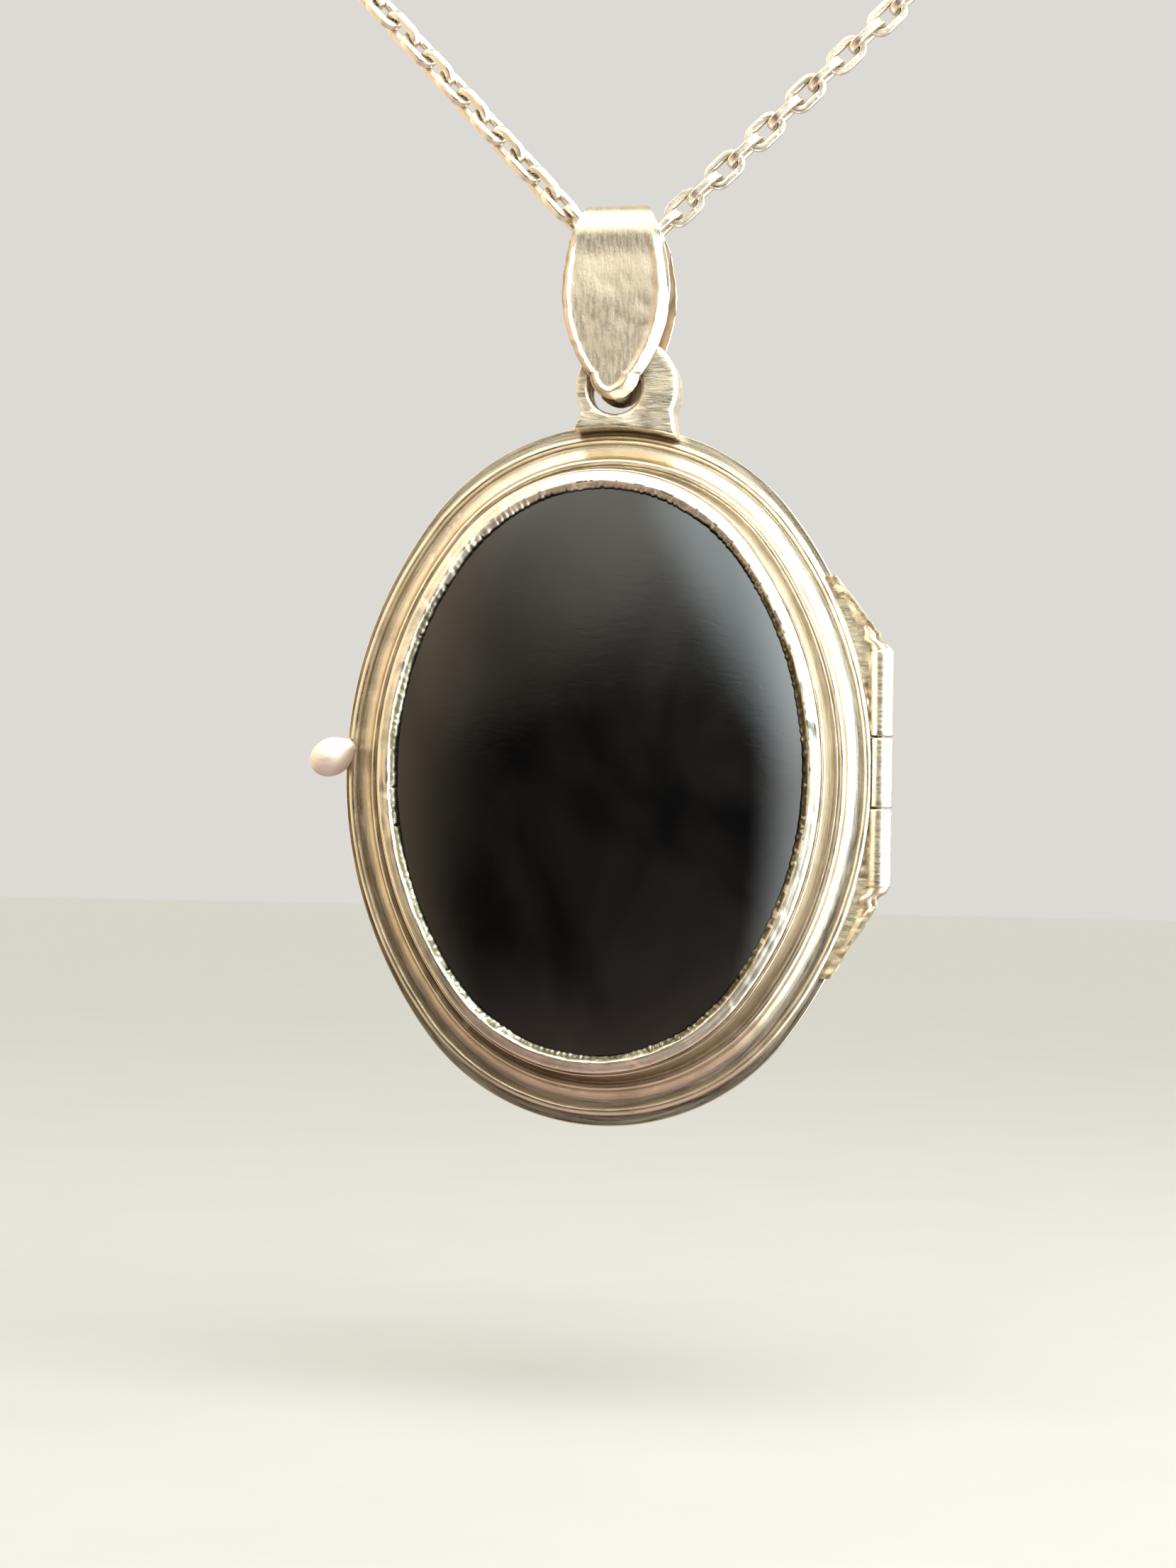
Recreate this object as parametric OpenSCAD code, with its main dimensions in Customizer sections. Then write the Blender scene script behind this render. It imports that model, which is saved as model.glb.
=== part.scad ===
// Hinged oval locket with a large black cabochon, hung from a trace chain by a folded leaf bail.
// Frame: +Z up, the front faces -Y, origin where the neck holds the chain.
// The case, the bail and the link plane are drawn in case coordinates: x to the right, y up the
// long axis from the middle of the oval, z towards the front from the parting plane.

/* [Case] */
// Width of the lid across its lower edge
lid_w = 27.96; // [27.9:0.02:28]
// How much longer the lid is than wide
lid_longer = 8; // [7.9:0.05:8.1]
// Width of the back cover
back_w = 28.4; // [28.36:0.02:28.44]
// How much longer the back cover is than wide
back_longer = 8.64; // [8.6:0.04:8.8]
// Depth of the back cover below the parting plane
back_d = 2; // [1.9:0.05:2.2]
// Gap between the lid and the back cover when shut
parting_gap = 0.04; // [0.03:0.01:0.06]

/* [Stone] */
// Height of the cabochon's crown above the parting plane
crown_z = 5.9; // [5.7:0.05:6.1]

/* [Hinge] */
// Distance of the hinge axis from the middle of the case
hinge_x = 14.28; // [14.25:0.01:14.35]
// Outside diameter of the knuckles
knuckle_d = 1.3; // [1.2:0.05:1.3]
// Diameter of the hinge pin
pin_d = 0.6; // [0.5:0.05:0.6]
// Top end of the hinge
hinge_top = 6.6; // [6.4:0.1:6.8]
// Joint between the upper and middle knuckles
hinge_upper_joint = 2.1; // [2:0.05:2.2]
// Joint between the middle and lower knuckles
hinge_lower_joint = -1.6; // [-1.7:0.05:-1.5]
// Bottom end of the hinge
hinge_bottom = -5.7; // [-5.9:0.1:-5.5]

/* [Lug] */
// Radius of the lug's disc
lug_r = 2.74; // [2.7:0.02:2.8]
// Thickness of the lug, two plates together
lug_t = 2.4; // [2.3:0.05:2.4]
// Radius of the lug's hole
lug_hole_r = 1.38; // [1.36:0.02:1.42]

/* [Bail] */
// Half the leaf's greatest width
leaf_half_w = 2.9; // [2.8:0.05:3]
// Thickness of the leaf
leaf_t = 0.43; // [0.4:0.01:0.46]
// Inside radius of the fold over the chain
fold_r = 1.5; // [1.46:0.01:1.52]

/* [Chain] */
// Distance from one link to the next along a strand
link_pitch = 1.44; // [1.43:0.01:1.46]
// Diameter of the link wire
wire_d = 0.5; // [0.46:0.01:0.5]
// Outside width of a link
link_w = 1.6; // [1.6:0.02:1.7]
// Turn of the left strand's links about its own length, degrees
left_twist = 45; // [0:5:60]
// Number of links in the left strand
left_links = 14; // [13:1:15]
// Number of links in the right strand
right_links = 15; // [14:1:16]
// Lean of the left strand from the vertical, degrees
left_lean = 42.6; // [41:0.2:44]
// Lean of the right strand from the vertical, degrees
right_lean = 46.7; // [45:0.2:48]

/* [Clasp] */
// Radius of the bolt ring along the middle of its tube
clasp_r = 2.6; // [2.5:0.05:2.7]
// Outside radius of the bolt ring's tube
clasp_tube_r = 0.65; // [0.62:0.01:0.68]
// Part of the circle that the tube covers, degrees
clasp_tube_arc = 285; // [280:1:290]

/* [Hidden] */
$fn = 96;
eps = 0.01;

// Each oval is [half its width, distance between a side arc's centre and an end arc's centre].
lid = [lid_w / 2, lid_longer * 1.25];
back = [back_w / 2, back_longer * 1.25];

silver = "gainsboro";
shade_silver = "silver";

// The case hangs with its lug's middle plane on Y = 0, this far below the origin.
hang_drop = 43;
lug_mid_z = 0.85;
lug_y = 20.2;
bail_x = 0.25;
lug_disc_x = bail_x + 0.63;

knuckle_gap = 0.05;
knuckle_bore_d = pin_d + 0.04;
hinge_relief_r = knuckle_d / 2 + 0.08;
bearer_t = 0.42;
bearer_y = 10.5;
bearer_x = 11.86;

// Offsets from the lid's outline, inwards, of the rings that share its arcs.
wall_in = 2.5;
bezel_in = 2.9;
stone_in = 2.98;
lip_in = 3.38;
seat_in = 1.65;

// ---------------------------------------------------------------- ovals drawn with four arcs
// A side arc's centre, an end arc's centre and the middle make a 3-4-5 triangle, so the arcs
// meet smoothly on the line through the two centres.
function side_centre(o) = 0.8 * o[1];
function end_centre(o) = 0.6 * o[1];
function side_radius(o) = o[0] + side_centre(o);
function end_radius(o) = side_radius(o) - o[1];

// Points along part of an ellipse, from angle a0 to a1.
function arc_points(cx, cy, rx, ry, a0, a1, n) =
    [for (i = [0 : n]) let (a = a0 + (a1 - a0) * i / n) [cx + rx * cos(a), cy + ry * sin(a)]];

// Filled oval, moved in by d.
module oval_2d(o, d = 0) {
    split_y = 0.6 * (side_radius(o) - d);
    intersection() {
        translate([-side_centre(o), 0]) circle(r = side_radius(o) - d, $fn = 180);
        translate([side_centre(o), 0]) circle(r = side_radius(o) - d, $fn = 180);
        square([4 * o[0], 2 * split_y], center = true);
    }
    for (s = [-1, 1])
        translate([0, s * end_centre(o)]) circle(r = end_radius(o) - d, $fn = 120);
}

// Oval plate between two heights.
module oval_plate(o, d, z0, z1) {
    translate([0, 0, z0]) linear_extrude(height = z1 - z0) oval_2d(o, d);
}

// Sector between the two lines along which a side arc meets its neighbours, and its partner.
module side_sector(o, depth) {
    reach = 30;
    translate([0, 0, -depth]) linear_extrude(height = 2 * depth) polygon([
        [-side_centre(o), 0],
        [0.8 * reach - side_centre(o), 0.6 * reach], [0.8 * reach - side_centre(o), -0.6 * reach]
    ]);
}

module end_sector(o, depth) {
    reach = 30;
    translate([0, 0, -depth]) linear_extrude(height = 2 * depth) polygon([
        [0, end_centre(o)],
        [0.8 * reach, end_centre(o) + 0.6 * reach], [-0.8 * reach, end_centre(o) + 0.6 * reach]
    ]);
}

// Sweeps a profile, drawn as [distance outwards from the outline, height], round the oval.
module oval_rim(o) {
    depth = 8;
    for (turn = [0, 180]) {
        rotate([0, 0, turn]) intersection() {
            translate([-side_centre(o), 0, 0])
                rotate_extrude($fn = 240) translate([side_radius(o), 0]) children();
            side_sector(o, depth);
        }
        rotate([0, 0, turn]) intersection() {
            translate([0, end_centre(o), 0])
                rotate_extrude($fn = 180) translate([end_radius(o), 0]) children();
            end_sector(o, depth);
        }
    }
}

// Puts case coordinates into the part's frame.
module in_case() {
    translate([0, lug_mid_z, -hang_drop]) rotate([90, 0, 0]) children();
}

// ---------------------------------------------------------------- lid
module lid_profile() {
    bead_z = 0.38;
    bead_r = 0.24;
    step_z = 0.86;
    ridge_z = 1.02;
    ridge_r = 0.18;
    wall_top = 3.6;
    polygon(concat(
        [[0, parting_gap]],
        arc_points(-0.3, bead_z, bead_r, bead_r, 0, 180, 10),
        arc_points(-0.58, step_z, 0.8, step_z - 0.4, 270, 180, 8),
        arc_points(-1.58, ridge_z, ridge_r, ridge_r, 0, 180, 8),
        arc_points(-1.78, wall_top, 0.52, wall_top - ridge_z, 270, 180, 12),
        [[-2.34, wall_top + 0.06], [-2.44, wall_top + 0.06], [-wall_in, wall_top]],
        [[-wall_in, 1.2], [-2.2, 0.75], [-seat_in, 0.75], [-seat_in, parting_gap]]
    ));
}

top_span = [hinge_upper_joint, hinge_top];
middle_span = [hinge_lower_joint, hinge_upper_joint];
bottom_span = [hinge_bottom, hinge_lower_joint];

// Room for the knuckles: a seat for a half's own ones, clearance round the other half's.
module knuckle_room(own, other) {
    for (span = own)
        translate([hinge_x, span[0], 0]) rotate([-90, 0, 0])
            cylinder(d = knuckle_d, h = span[1] - span[0]);
    for (span = other)
        translate([hinge_x, span[0] - knuckle_gap, 0]) rotate([-90, 0, 0])
            cylinder(r = hinge_relief_r, h = span[1] - span[0] + 2 * knuckle_gap);
}

module lid_moulding() {
    color(silver) in_case() difference() {
        oval_rim(lid) lid_profile();
        knuckle_room([top_span, bottom_span], [middle_span]);
    }
}

// The plate that closes the lid, under the stone, and the heights of the bezel over it.
base_z = [1.35, 1.75];
bezel_round_z = 4.12;
bezel_lip_z = [4.22, 4.3];

module lid_base_plate() {
    color(shade_silver) in_case() oval_plate(lid, wall_in, base_z[0], base_z[1]);
}

module bezel() {
    round_half_w = 0.45;
    round_h = 0.36;
    color(silver) in_case() oval_rim(lid) polygon(concat(
        [[-wall_in, base_z[1]]],
        arc_points(-wall_in - round_half_w, bezel_round_z, round_half_w, round_h, 0, 120, 8),
        [[-lip_in, bezel_lip_z[1]], [-lip_in, bezel_lip_z[0]]],
        [[-bezel_in, bezel_round_z - 0.1], [-bezel_in, base_z[1]]]
    ));
}

module cabochon() {
    // Half lengths of the ellipsoid whose cap is the crown.
    dome = [12, 16.53, 3.35];
    color([0.03, 0.03, 0.035]) in_case() intersection() {
        oval_plate(lid, stone_in, base_z[1] + 0.05, crown_z + 1);
        translate([0, 0, crown_z - dome[2]]) scale(dome) sphere(r = 1, $fn = 180);
    }
}

// Outline of the flat web that carries the knuckles.
module bearer_outline() {
    polygon([
        [bearer_x - 1.2, bearer_y], [bearer_x, bearer_y],
        [hinge_x + 0.2, hinge_top + 0.35], [hinge_x + knuckle_d / 2, hinge_top - 0.15],
        [hinge_x + knuckle_d / 2, hinge_bottom + 0.15], [hinge_x + 0.2, hinge_bottom - 0.35],
        [bearer_x, -bearer_y], [bearer_x - 1.2, -bearer_y]
    ]);
}

// Web between an oval and the hinge, cut back to the knuckles and clear of the other half's.
module bearer(o, z0, own, other) {
    difference() {
        translate([0, 0, z0]) linear_extrude(height = bearer_t) bearer_outline();
        oval_plate(o, 0, z0 - 1, z0 + bearer_t + 1);
        translate([hinge_x, hinge_bottom, z0 - 1])
            cube([knuckle_d, hinge_top - hinge_bottom, bearer_t + 2]);
        knuckle_room(own, other);
    }
}

// The lid's web rounds the axis past both ends of the hinge, so the back's web is cut away there.
web_past_hinge = 0.7;
top_span_past = [hinge_upper_joint, hinge_top + web_past_hinge];
bottom_span_past = [hinge_bottom - web_past_hinge, hinge_lower_joint];

module lid_hinge_bearer() {
    color(shade_silver) in_case() intersection() {
        bearer(lid, parting_gap + 0.02, [top_span, bottom_span], [middle_span]);
        union() {
            translate([0, -bearer_y, -1]) cube([hinge_x, 2 * bearer_y, 3]);
            translate([hinge_x, -bearer_y, 0]) rotate([-90, 0, 0])
                cylinder(d = knuckle_d, h = 2 * bearer_y);
        }
    }
}

module back_hinge_bearer() {
    color(shade_silver) in_case()
        bearer(back, -bearer_t - 0.02, [middle_span], [top_span_past, bottom_span_past]);
}

module knuckle(span) {
    y0 = span[0] + (span[0] == hinge_bottom ? 0 : knuckle_gap);
    y1 = span[1] - (span[1] == hinge_top ? 0 : knuckle_gap);
    in_case() translate([hinge_x, y0, 0]) rotate([-90, 0, 0]) difference() {
        cylinder(d = knuckle_d, h = y1 - y0);
        translate([0, 0, -1]) cylinder(d = knuckle_bore_d, h = y1 - y0 + 2);
    }
}

module hinge_knuckle_top() { color(silver) knuckle(top_span); }
module hinge_knuckle_middle() { color(silver) knuckle(middle_span); }
module hinge_knuckle_bottom() { color(silver) knuckle(bottom_span); }

module hinge_pin() {
    color(shade_silver) in_case() translate([hinge_x, hinge_bottom, 0]) rotate([-90, 0, 0])
        cylinder(d = pin_d, h = hinge_top - hinge_bottom);
}

module thumb_ball() {
    ball = [-14.82, 0.7, 0.75];
    half_long = 1.2;
    half_wide = 0.92;
    tilt = 31;
    peg_r = 0.34;
    color(silver) in_case() difference() {
        translate(ball) rotate([0, 0, tilt]) rotate([0, 90, 0]) {
            rotate_extrude() polygon(arc_points(0, 0, half_wide, half_long, -90, 90, 24));
            cylinder(r = peg_r, h = 1.9);
        }
        oval_plate(lid, 0.06, -1, 3);
        translate([-lid_w / 2 - 0.5, -2, -1]) cube([4, 6, 1 + parting_gap]);
    }
}

// ---------------------------------------------------------------- photo seats, one in each half
// Rings and plates are drawn for the lid and mirrored for the back cover.
frame_out = wall_in + 0.02;
frame_in = 3.75;
frame_front_z = 0.1;
frame_lip_z = 0.52;
frame_back_z = 1.3;
window_z = [0.54, 0.89];
card_z = [0.91, 1.11];

module photo_frame_shape() {
    soft = 0.1;
    oval_rim(lid) polygon([
        [-frame_out, frame_back_z], [-frame_out, frame_front_z + soft],
        [-frame_out - soft, frame_front_z], [-frame_in + 0.2, frame_front_z],
        [-frame_in, frame_front_z + 0.15], [-frame_in, frame_lip_z],
        [-bezel_in, frame_lip_z], [-bezel_in, frame_back_z]
    ]);
}

module window_shape() { oval_plate(lid, bezel_in + 0.05, window_z[0], window_z[1]); }
module card_shape() { oval_plate(lid, bezel_in + 0.1, card_z[0], card_z[1]); }

module lid_photo_frame() { color("wheat") in_case() photo_frame_shape(); }
module lid_window() { color([0.85, 0.9, 0.9, 0.5]) in_case() window_shape(); }
module lid_photo_card() { color("linen") in_case() card_shape(); }
module back_photo_frame() { color("wheat") in_case() mirror([0, 0, 1]) photo_frame_shape(); }
module back_window() { color([0.85, 0.9, 0.9, 0.5]) in_case() mirror([0, 0, 1]) window_shape(); }
module back_photo_card() { color("linen") in_case() mirror([0, 0, 1]) card_shape(); }

// ---------------------------------------------------------------- back half of the case
// Width of the swept border; a flat plate fills the middle.
back_rim_w = 4;

module back_profile() {
    polygon(concat(
        [[-0.05, 0], [0, -0.05], [0, -0.5]],
        arc_points(-0.25, -0.5, 0.25, 0.25, 0, -90, 6),
        arc_points(-0.45, -1.25, 0.75, 0.45, 90, 180, 6),
        arc_points(-1.45, -1.32, 0.2, 0.2, 0, -180, 8),
        arc_points(-1.75, -back_d, 1.15, back_d - 1.3, 90, 180, 8),
        [[-back_rim_w, -back_d], [-back_rim_w, 0]]
    ));
}

module back_cover() {
    floor_z = base_z[0];
    ledge_z = 0.5;
    color(silver) in_case() difference() {
        union() {
            oval_rim(back) back_profile();
            oval_plate(back, back_rim_w - eps, -back_d, 0);
        }
        oval_plate(lid, seat_in + 0.05, -ledge_z, 1);
        oval_plate(lid, wall_in, -floor_z, 1);
        knuckle_room([middle_span], [top_span, bottom_span]);
    }
}

module back_snap_rim() {
    rim_out = seat_in + 0.05;
    rim_in = rim_out + 0.3;
    color(shade_silver) in_case() oval_rim(lid) polygon([
        [-rim_out, -0.5], [-rim_out, 0.52], [-rim_out - 0.1, 0.62],
        [-rim_in + 0.08, 0.62], [-rim_in, 0.54], [-rim_in, -0.5]
    ]);
}

// ---------------------------------------------------------------- lug
// Foot that joins the disc to the case, with its flare on the right.
lug_foot = [[-2, 17.8], [-1.45, 19.2], [3.3, 19.2], [3.65, 17.3], [1, 17.3]];
// Gap between the lug and the shut lid.
lug_gap = 0.12;

module lug_plate(z0, z1) {
    in_case() difference() {
        union() {
            translate([lug_disc_x, lug_y, z0]) cylinder(r = lug_r, h = z1 - z0);
            translate([0, 0, z0]) linear_extrude(height = z1 - z0) polygon(lug_foot);
        }
        translate([bail_x, lug_y, z0 - 1]) cylinder(r = lug_hole_r, h = z1 - z0 + 2);
        oval_plate(back, 0, z0 - 1, parting_gap);
        oval_plate(lid, -lug_gap, parting_gap - eps, z1 + 1);
    }
}

module lug_back_plate() { color(silver) lug_plate(lug_mid_z - lug_t / 2, lug_mid_z); }
module lug_front_plate() { color(silver) lug_plate(lug_mid_z, lug_mid_z + lug_t / 2); }

// ---------------------------------------------------------------- bail
fold_y = 28.08;
leaf_wide_y = 25.2;
tip_y = 19.5;

// Front view of the leaf: two circles meet below its widest place and two above, and its tip is
// round.
module leaf_outline() {
    tip_r = 1.35;
    translate([0, tip_y + tip_r]) circle(r = tip_r);
    lower_r = 7.35;
    upper_r = 9.38;
    for (half = [[lower_r, tip_y, leaf_wide_y], [upper_r, leaf_wide_y, fold_y + 3]])
        intersection() {
            translate([half[0] - leaf_half_w, leaf_wide_y]) circle(r = half[0], $fn = 180);
            translate([leaf_half_w - half[0], leaf_wide_y]) circle(r = half[0], $fn = 180);
            translate([-leaf_half_w - 1, half[1]])
                square([2 * leaf_half_w + 2, half[2] - half[1]]);
        }
}

// Side view of the fold: two leaves joined over the chain, as [depth, height].
module fold_outline() {
    difference() {
        union() {
            translate([0, fold_y]) circle(r = fold_r + leaf_t);
            translate([-fold_r - leaf_t, tip_y]) square([2 * (fold_r + leaf_t), fold_y - tip_y]);
        }
        translate([0, fold_y]) circle(r = fold_r);
        translate([-fold_r, tip_y - 1]) square([2 * fold_r, fold_y - tip_y + 1]);
    }
}

// Rounded tab that goes through the lug and bears on the top of its hole.
module bail_tab() {
    tab_r = 0.5;
    tab_top = lug_y + lug_hole_r - 0.06;
    tab_bottom = tip_y + 0.25;
    rotate([90, 0, 0])
        linear_extrude(height = 2 * fold_r + leaf_t, center = true) {
            for (y = [tab_bottom + tab_r, tab_top - tab_r])
                translate([0, y]) circle(r = tab_r);
            translate([-tab_r, tab_bottom + tab_r])
                square([2 * tab_r, tab_top - tab_bottom - 2 * tab_r]);
        }
}

module bail() {
    color(silver) translate([bail_x, 0, -hang_drop]) {
        intersection() {
            rotate([90, 0, 0]) linear_extrude(height = 6, center = true) leaf_outline();
            rotate([90, 0, 90]) linear_extrude(height = 8, center = true) fold_outline();
        }
        bail_tab();
    }
}

// ---------------------------------------------------------------- chain
// The strands form a V through the bail; its lowest link lies across the bail's middle.
vee_x = bail_x - 0.05;
vee_z = 26.65 - hang_drop;
// Half the distance between the strands' starts, so that their first links hook the lowest one.
half_span = 0.79;
// Free play between one link and the next.
link_slack = 0.04;
link_arc_r = (link_w - wire_d) / 2;
link_half_straight = (link_pitch + link_slack + wire_d) / 2 - link_arc_r;
// From a strand's start to the middle of its first link's end arc.
hook = link_pitch / 2 - link_half_straight;
left_dir = [-sin(left_lean), 0, cos(left_lean)];
right_dir = [sin(right_lean), 0, cos(right_lean)];
left_start = [vee_x - half_span, 0, vee_z + half_span / tan(left_lean)];
right_start = [vee_x + half_span, 0, vee_z + half_span / tan(right_lean)];
left_end = left_start + left_links * link_pitch * left_dir;
right_end = right_start + right_links * link_pitch * right_dir;

// One link with its length along z and its face in the x-z plane.
module link() {
    rotate([90, 0, 0])
        for (end = [0, 180])
            rotate([0, 0, end]) {
                translate([0, link_half_straight, 0]) rotate_extrude(angle = 180, $fn = 48)
                    translate([link_arc_r, 0]) circle(d = wire_d, $fn = 24);
                translate([link_arc_r, -link_half_straight, 0]) rotate([-90, 0, 0])
                    cylinder(d = wire_d, h = 2 * link_half_straight, $fn = 24);
            }
}

// Links of a strand, each a quarter turn from the last. The strand takes up its own twist over
// its first few links, so much a link.
module strand(start, lean, count, twist) {
    for (i = [0 : count - 1])
        translate(start + (i + 0.5) * link_pitch * [sin(lean), 0, cos(lean)])
            rotate([0, lean, 0])
                rotate([0, 0, min(twist, (i + 1) * twist / 3) + 90 * (i % 2)]) link();
}

module chain_left() { color(silver) strand(left_start, -left_lean, left_links, left_twist); }
module chain_right() { color(silver) strand(right_start, right_lean, right_links, 0); }

module chain_centre() {
    left_hook = left_start + hook * left_dir;
    right_hook = right_start + hook * right_dir;
    span = right_hook - left_hook;
    color(silver) translate((left_hook + right_hook) / 2)
        rotate([0, 90 - atan2(span[2], span[0]), 0]) rotate([0, 0, 90]) link();
}

// ---------------------------------------------------------------- jump rings and bolt ring
jump_r = 1.2;
jump_wire_d = 0.5;
// From a strand's last contact to the middle of its jump ring.
jump_step = jump_r - jump_wire_d / 2 - 0.02;
jump_left = left_end + jump_step * left_dir;
jump_right = right_end + jump_step * right_dir;

module jump_ring(centre, lean, roll) {
    translate(centre) rotate([0, lean, 0]) rotate([0, 0, roll]) rotate([90, 0, 0])
        rotate_extrude($fn = 72) translate([jump_r, 0]) circle(d = jump_wire_d, $fn = 24);
}

module jump_rings() {
    color(silver) {
        jump_ring(jump_left, -left_lean, left_twist + 90 * (left_links % 2));
        jump_ring(jump_right, right_lean, 90 * (right_links % 2));
    }
}

eye_r = 0.65;
eye_wire_d = 0.45;
eye_step = jump_r - jump_wire_d / 2 - eye_wire_d / 2 - 0.02 + eye_r;
clasp_step = eye_step + eye_r + clasp_tube_r + clasp_r - 0.35;
clasp_centre = jump_left + clasp_step * left_dir;
// Angle round the clasp's own circle at which its eye stands.
eye_angle = 100;
tube_bore_r = 0.4;
slot_from = 192;
slot_to = 276;
knob_angle = 270;

// Puts the clasp's own circle, drawn in the x-y plane, at the end of the left strand.
module at_clasp() {
    translate(clasp_centre) rotate([90, 0, 0]) rotate([0, 0, left_lean + 270 - eye_angle])
        children();
}

module ring_arc(from, to) {
    rotate([0, 0, from]) rotate_extrude(angle = to - from, $fn = 120)
        translate([clasp_r, 0]) children();
}

module clasp_ring() {
    slot_w = 0.44;
    color(silver) {
        at_clasp() difference() {
            ring_arc(0, clasp_tube_arc) circle(r = clasp_tube_r, $fn = 36);
            ring_arc(-1, clasp_tube_arc + 1) circle(r = tube_bore_r, $fn = 36);
            ring_arc(slot_from, slot_to) translate([0, -slot_w / 2]) square([1, slot_w]);
        }
        translate(jump_left + eye_step * left_dir) rotate([0, -left_lean, 0])
            rotate([0, 0, left_twist + 90 * (left_links % 2 + 1)]) rotate([90, 0, 0])
                rotate_extrude($fn = 48) translate([eye_r, 0]) circle(d = eye_wire_d, $fn = 24);
    }
}

module clasp_trigger() {
    wire_r = 0.34;
    knob_r = 0.18;
    color(shade_silver) at_clasp() {
        ring_arc(200, 363) circle(r = wire_r, $fn = 36);
        rotate([0, 0, knob_angle]) translate([clasp_r, 0, 0]) rotate([0, 90, 0]) {
            cylinder(r = knob_r, h = 1.1);
            translate([0, 0, 1.1]) sphere(r = 0.32);
        }
    }
}

// Coil spring inside the tube, squeezed between the tube's blind part and the trigger.
module clasp_spring() {
    coil_r = 0.26;
    spring_wire_r = 0.06;
    turns = 14;
    from = 110;
    to = 198;
    steps = turns * 8;
    sides = 5;
    points = [for (i = [0 : steps], k = [0 : sides - 1])
        let (
            along = from + (to - from) * i / steps,
            turn = 360 * turns * i / steps,
            side = 360 * k / sides,
            out = (coil_r + spring_wire_r * cos(side)) * cos(turn),
            up = (coil_r + spring_wire_r * cos(side)) * sin(turn),
            slide = spring_wire_r * sin(side) / clasp_r * 180 / PI
        )
        [(clasp_r + out) * cos(along + slide), (clasp_r + out) * sin(along + slide), up]];
    skin = [for (i = [0 : steps - 1], k = [0 : sides - 1])
        let (a = i * sides + k, b = i * sides + (k + 1) % sides)
        [a, b, b + sides, a + sides]];
    ends = [
        [for (k = [sides - 1 : -1 : 0]) k],
        [for (k = [0 : sides - 1]) steps * sides + k]
    ];
    color(shade_silver) at_clasp() polyhedron(points, concat(skin, ends));
}

chain_left();
chain_centre();
chain_right();
jump_rings();
clasp_ring();
clasp_trigger();
clasp_spring();
bail();
back_cover();
back_snap_rim();
back_hinge_bearer();
hinge_knuckle_middle();
hinge_pin();
lug_back_plate();
lug_front_plate();
back_photo_frame();
back_window();
back_photo_card();
lid_moulding();
lid_base_plate();
bezel();
cabochon();
lid_hinge_bearer();
hinge_knuckle_top();
hinge_knuckle_bottom();
thumb_ball();
lid_photo_frame();
lid_window();
lid_photo_card();
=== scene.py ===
"""Looks, light and camera for the hinged oval locket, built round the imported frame.

Lengths are millimetres until a mesh is made. Case coordinates are x to the right, y up the
case's long axis from its middle, and h towards the front from the plane where the halves part.
"""
import math

import bmesh
import bpy
import numpy as np
from mathutils import Matrix, Vector


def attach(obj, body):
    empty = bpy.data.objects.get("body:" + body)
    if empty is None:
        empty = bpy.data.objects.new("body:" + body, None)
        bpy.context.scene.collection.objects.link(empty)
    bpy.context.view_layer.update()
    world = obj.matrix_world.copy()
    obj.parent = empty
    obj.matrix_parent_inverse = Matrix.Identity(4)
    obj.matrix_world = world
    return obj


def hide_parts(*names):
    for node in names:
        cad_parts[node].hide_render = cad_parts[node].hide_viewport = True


MM = 0.001

# ------------------------------------------------------------------ sizes shared with the part
HANG_DROP = 43.0  # from the neck hold down to the middle of the case
CASE_MID_Y = 0.85  # the parting plane stands this far behind the bail's middle plane
LID_HALF_W, LID_K = 13.98, 10.0
BACK_HALF_W, BACK_K = 14.2, 10.8
BACK_DEPTH = 2.0
PARTING_GAP = 0.04
CROWN_H = 5.9
DOME = (12.0, 16.53, 3.35)  # half width, half length and rise of the stone's crown
STONE_INSET = 2.98  # the stone's girdle lies this far inside the lid's outline
STONE_SEAT_H = 1.8

HINGE_X = 14.28
KNUCKLE_R = 0.65
PIN_R = 0.3
BORE_R = 0.32
HINGE_TOP, HINGE_UPPER, HINGE_LOWER, HINGE_BOTTOM = 6.6, 2.1, -1.6, -5.7
KNUCKLE_GAP = 0.05
RELIEF_R = 0.73
WEB_PAST_HINGE = 0.7  # the webs keep clear of the other half this far past the hinge's ends
WEB_LAP = 0.12  # how far a web reaches in over its rim
WEB_GAP = 0.02  # between a web and the plane where the halves part
WEB_SHOULDER = 0.35  # where a web's edge starts to slope, past the hinge and outside its axis
BEARER_X, BEARER_Y, BEARER_T = 11.86, 10.5, 0.42

# Flat plates: how far inside the lid's outline, and between which heights.
WINDOW, CARD, BASE_PLATE = (2.95, 0.54, 0.89), (3.0, 0.91, 1.11), (2.5, 1.35, 1.75)

BAIL_X = 0.25
LUG_X, LUG_Y, LUG_R, LUG_HOLE_R = 0.88, 20.2, 2.74, 1.38
LUG_HALF_T = 1.2
LEAF_HALF_W, LEAF_T, FOLD_R = 2.9, 0.43, 1.5
FOLD_Y, LEAF_WIDE_Y, LEAF_TIP_Y = 28.08, 25.2, 19.5
LEAF_LOWER_R, LEAF_UPPER_R, LEAF_TIP_R = 7.35, 9.38, 1.35

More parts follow.
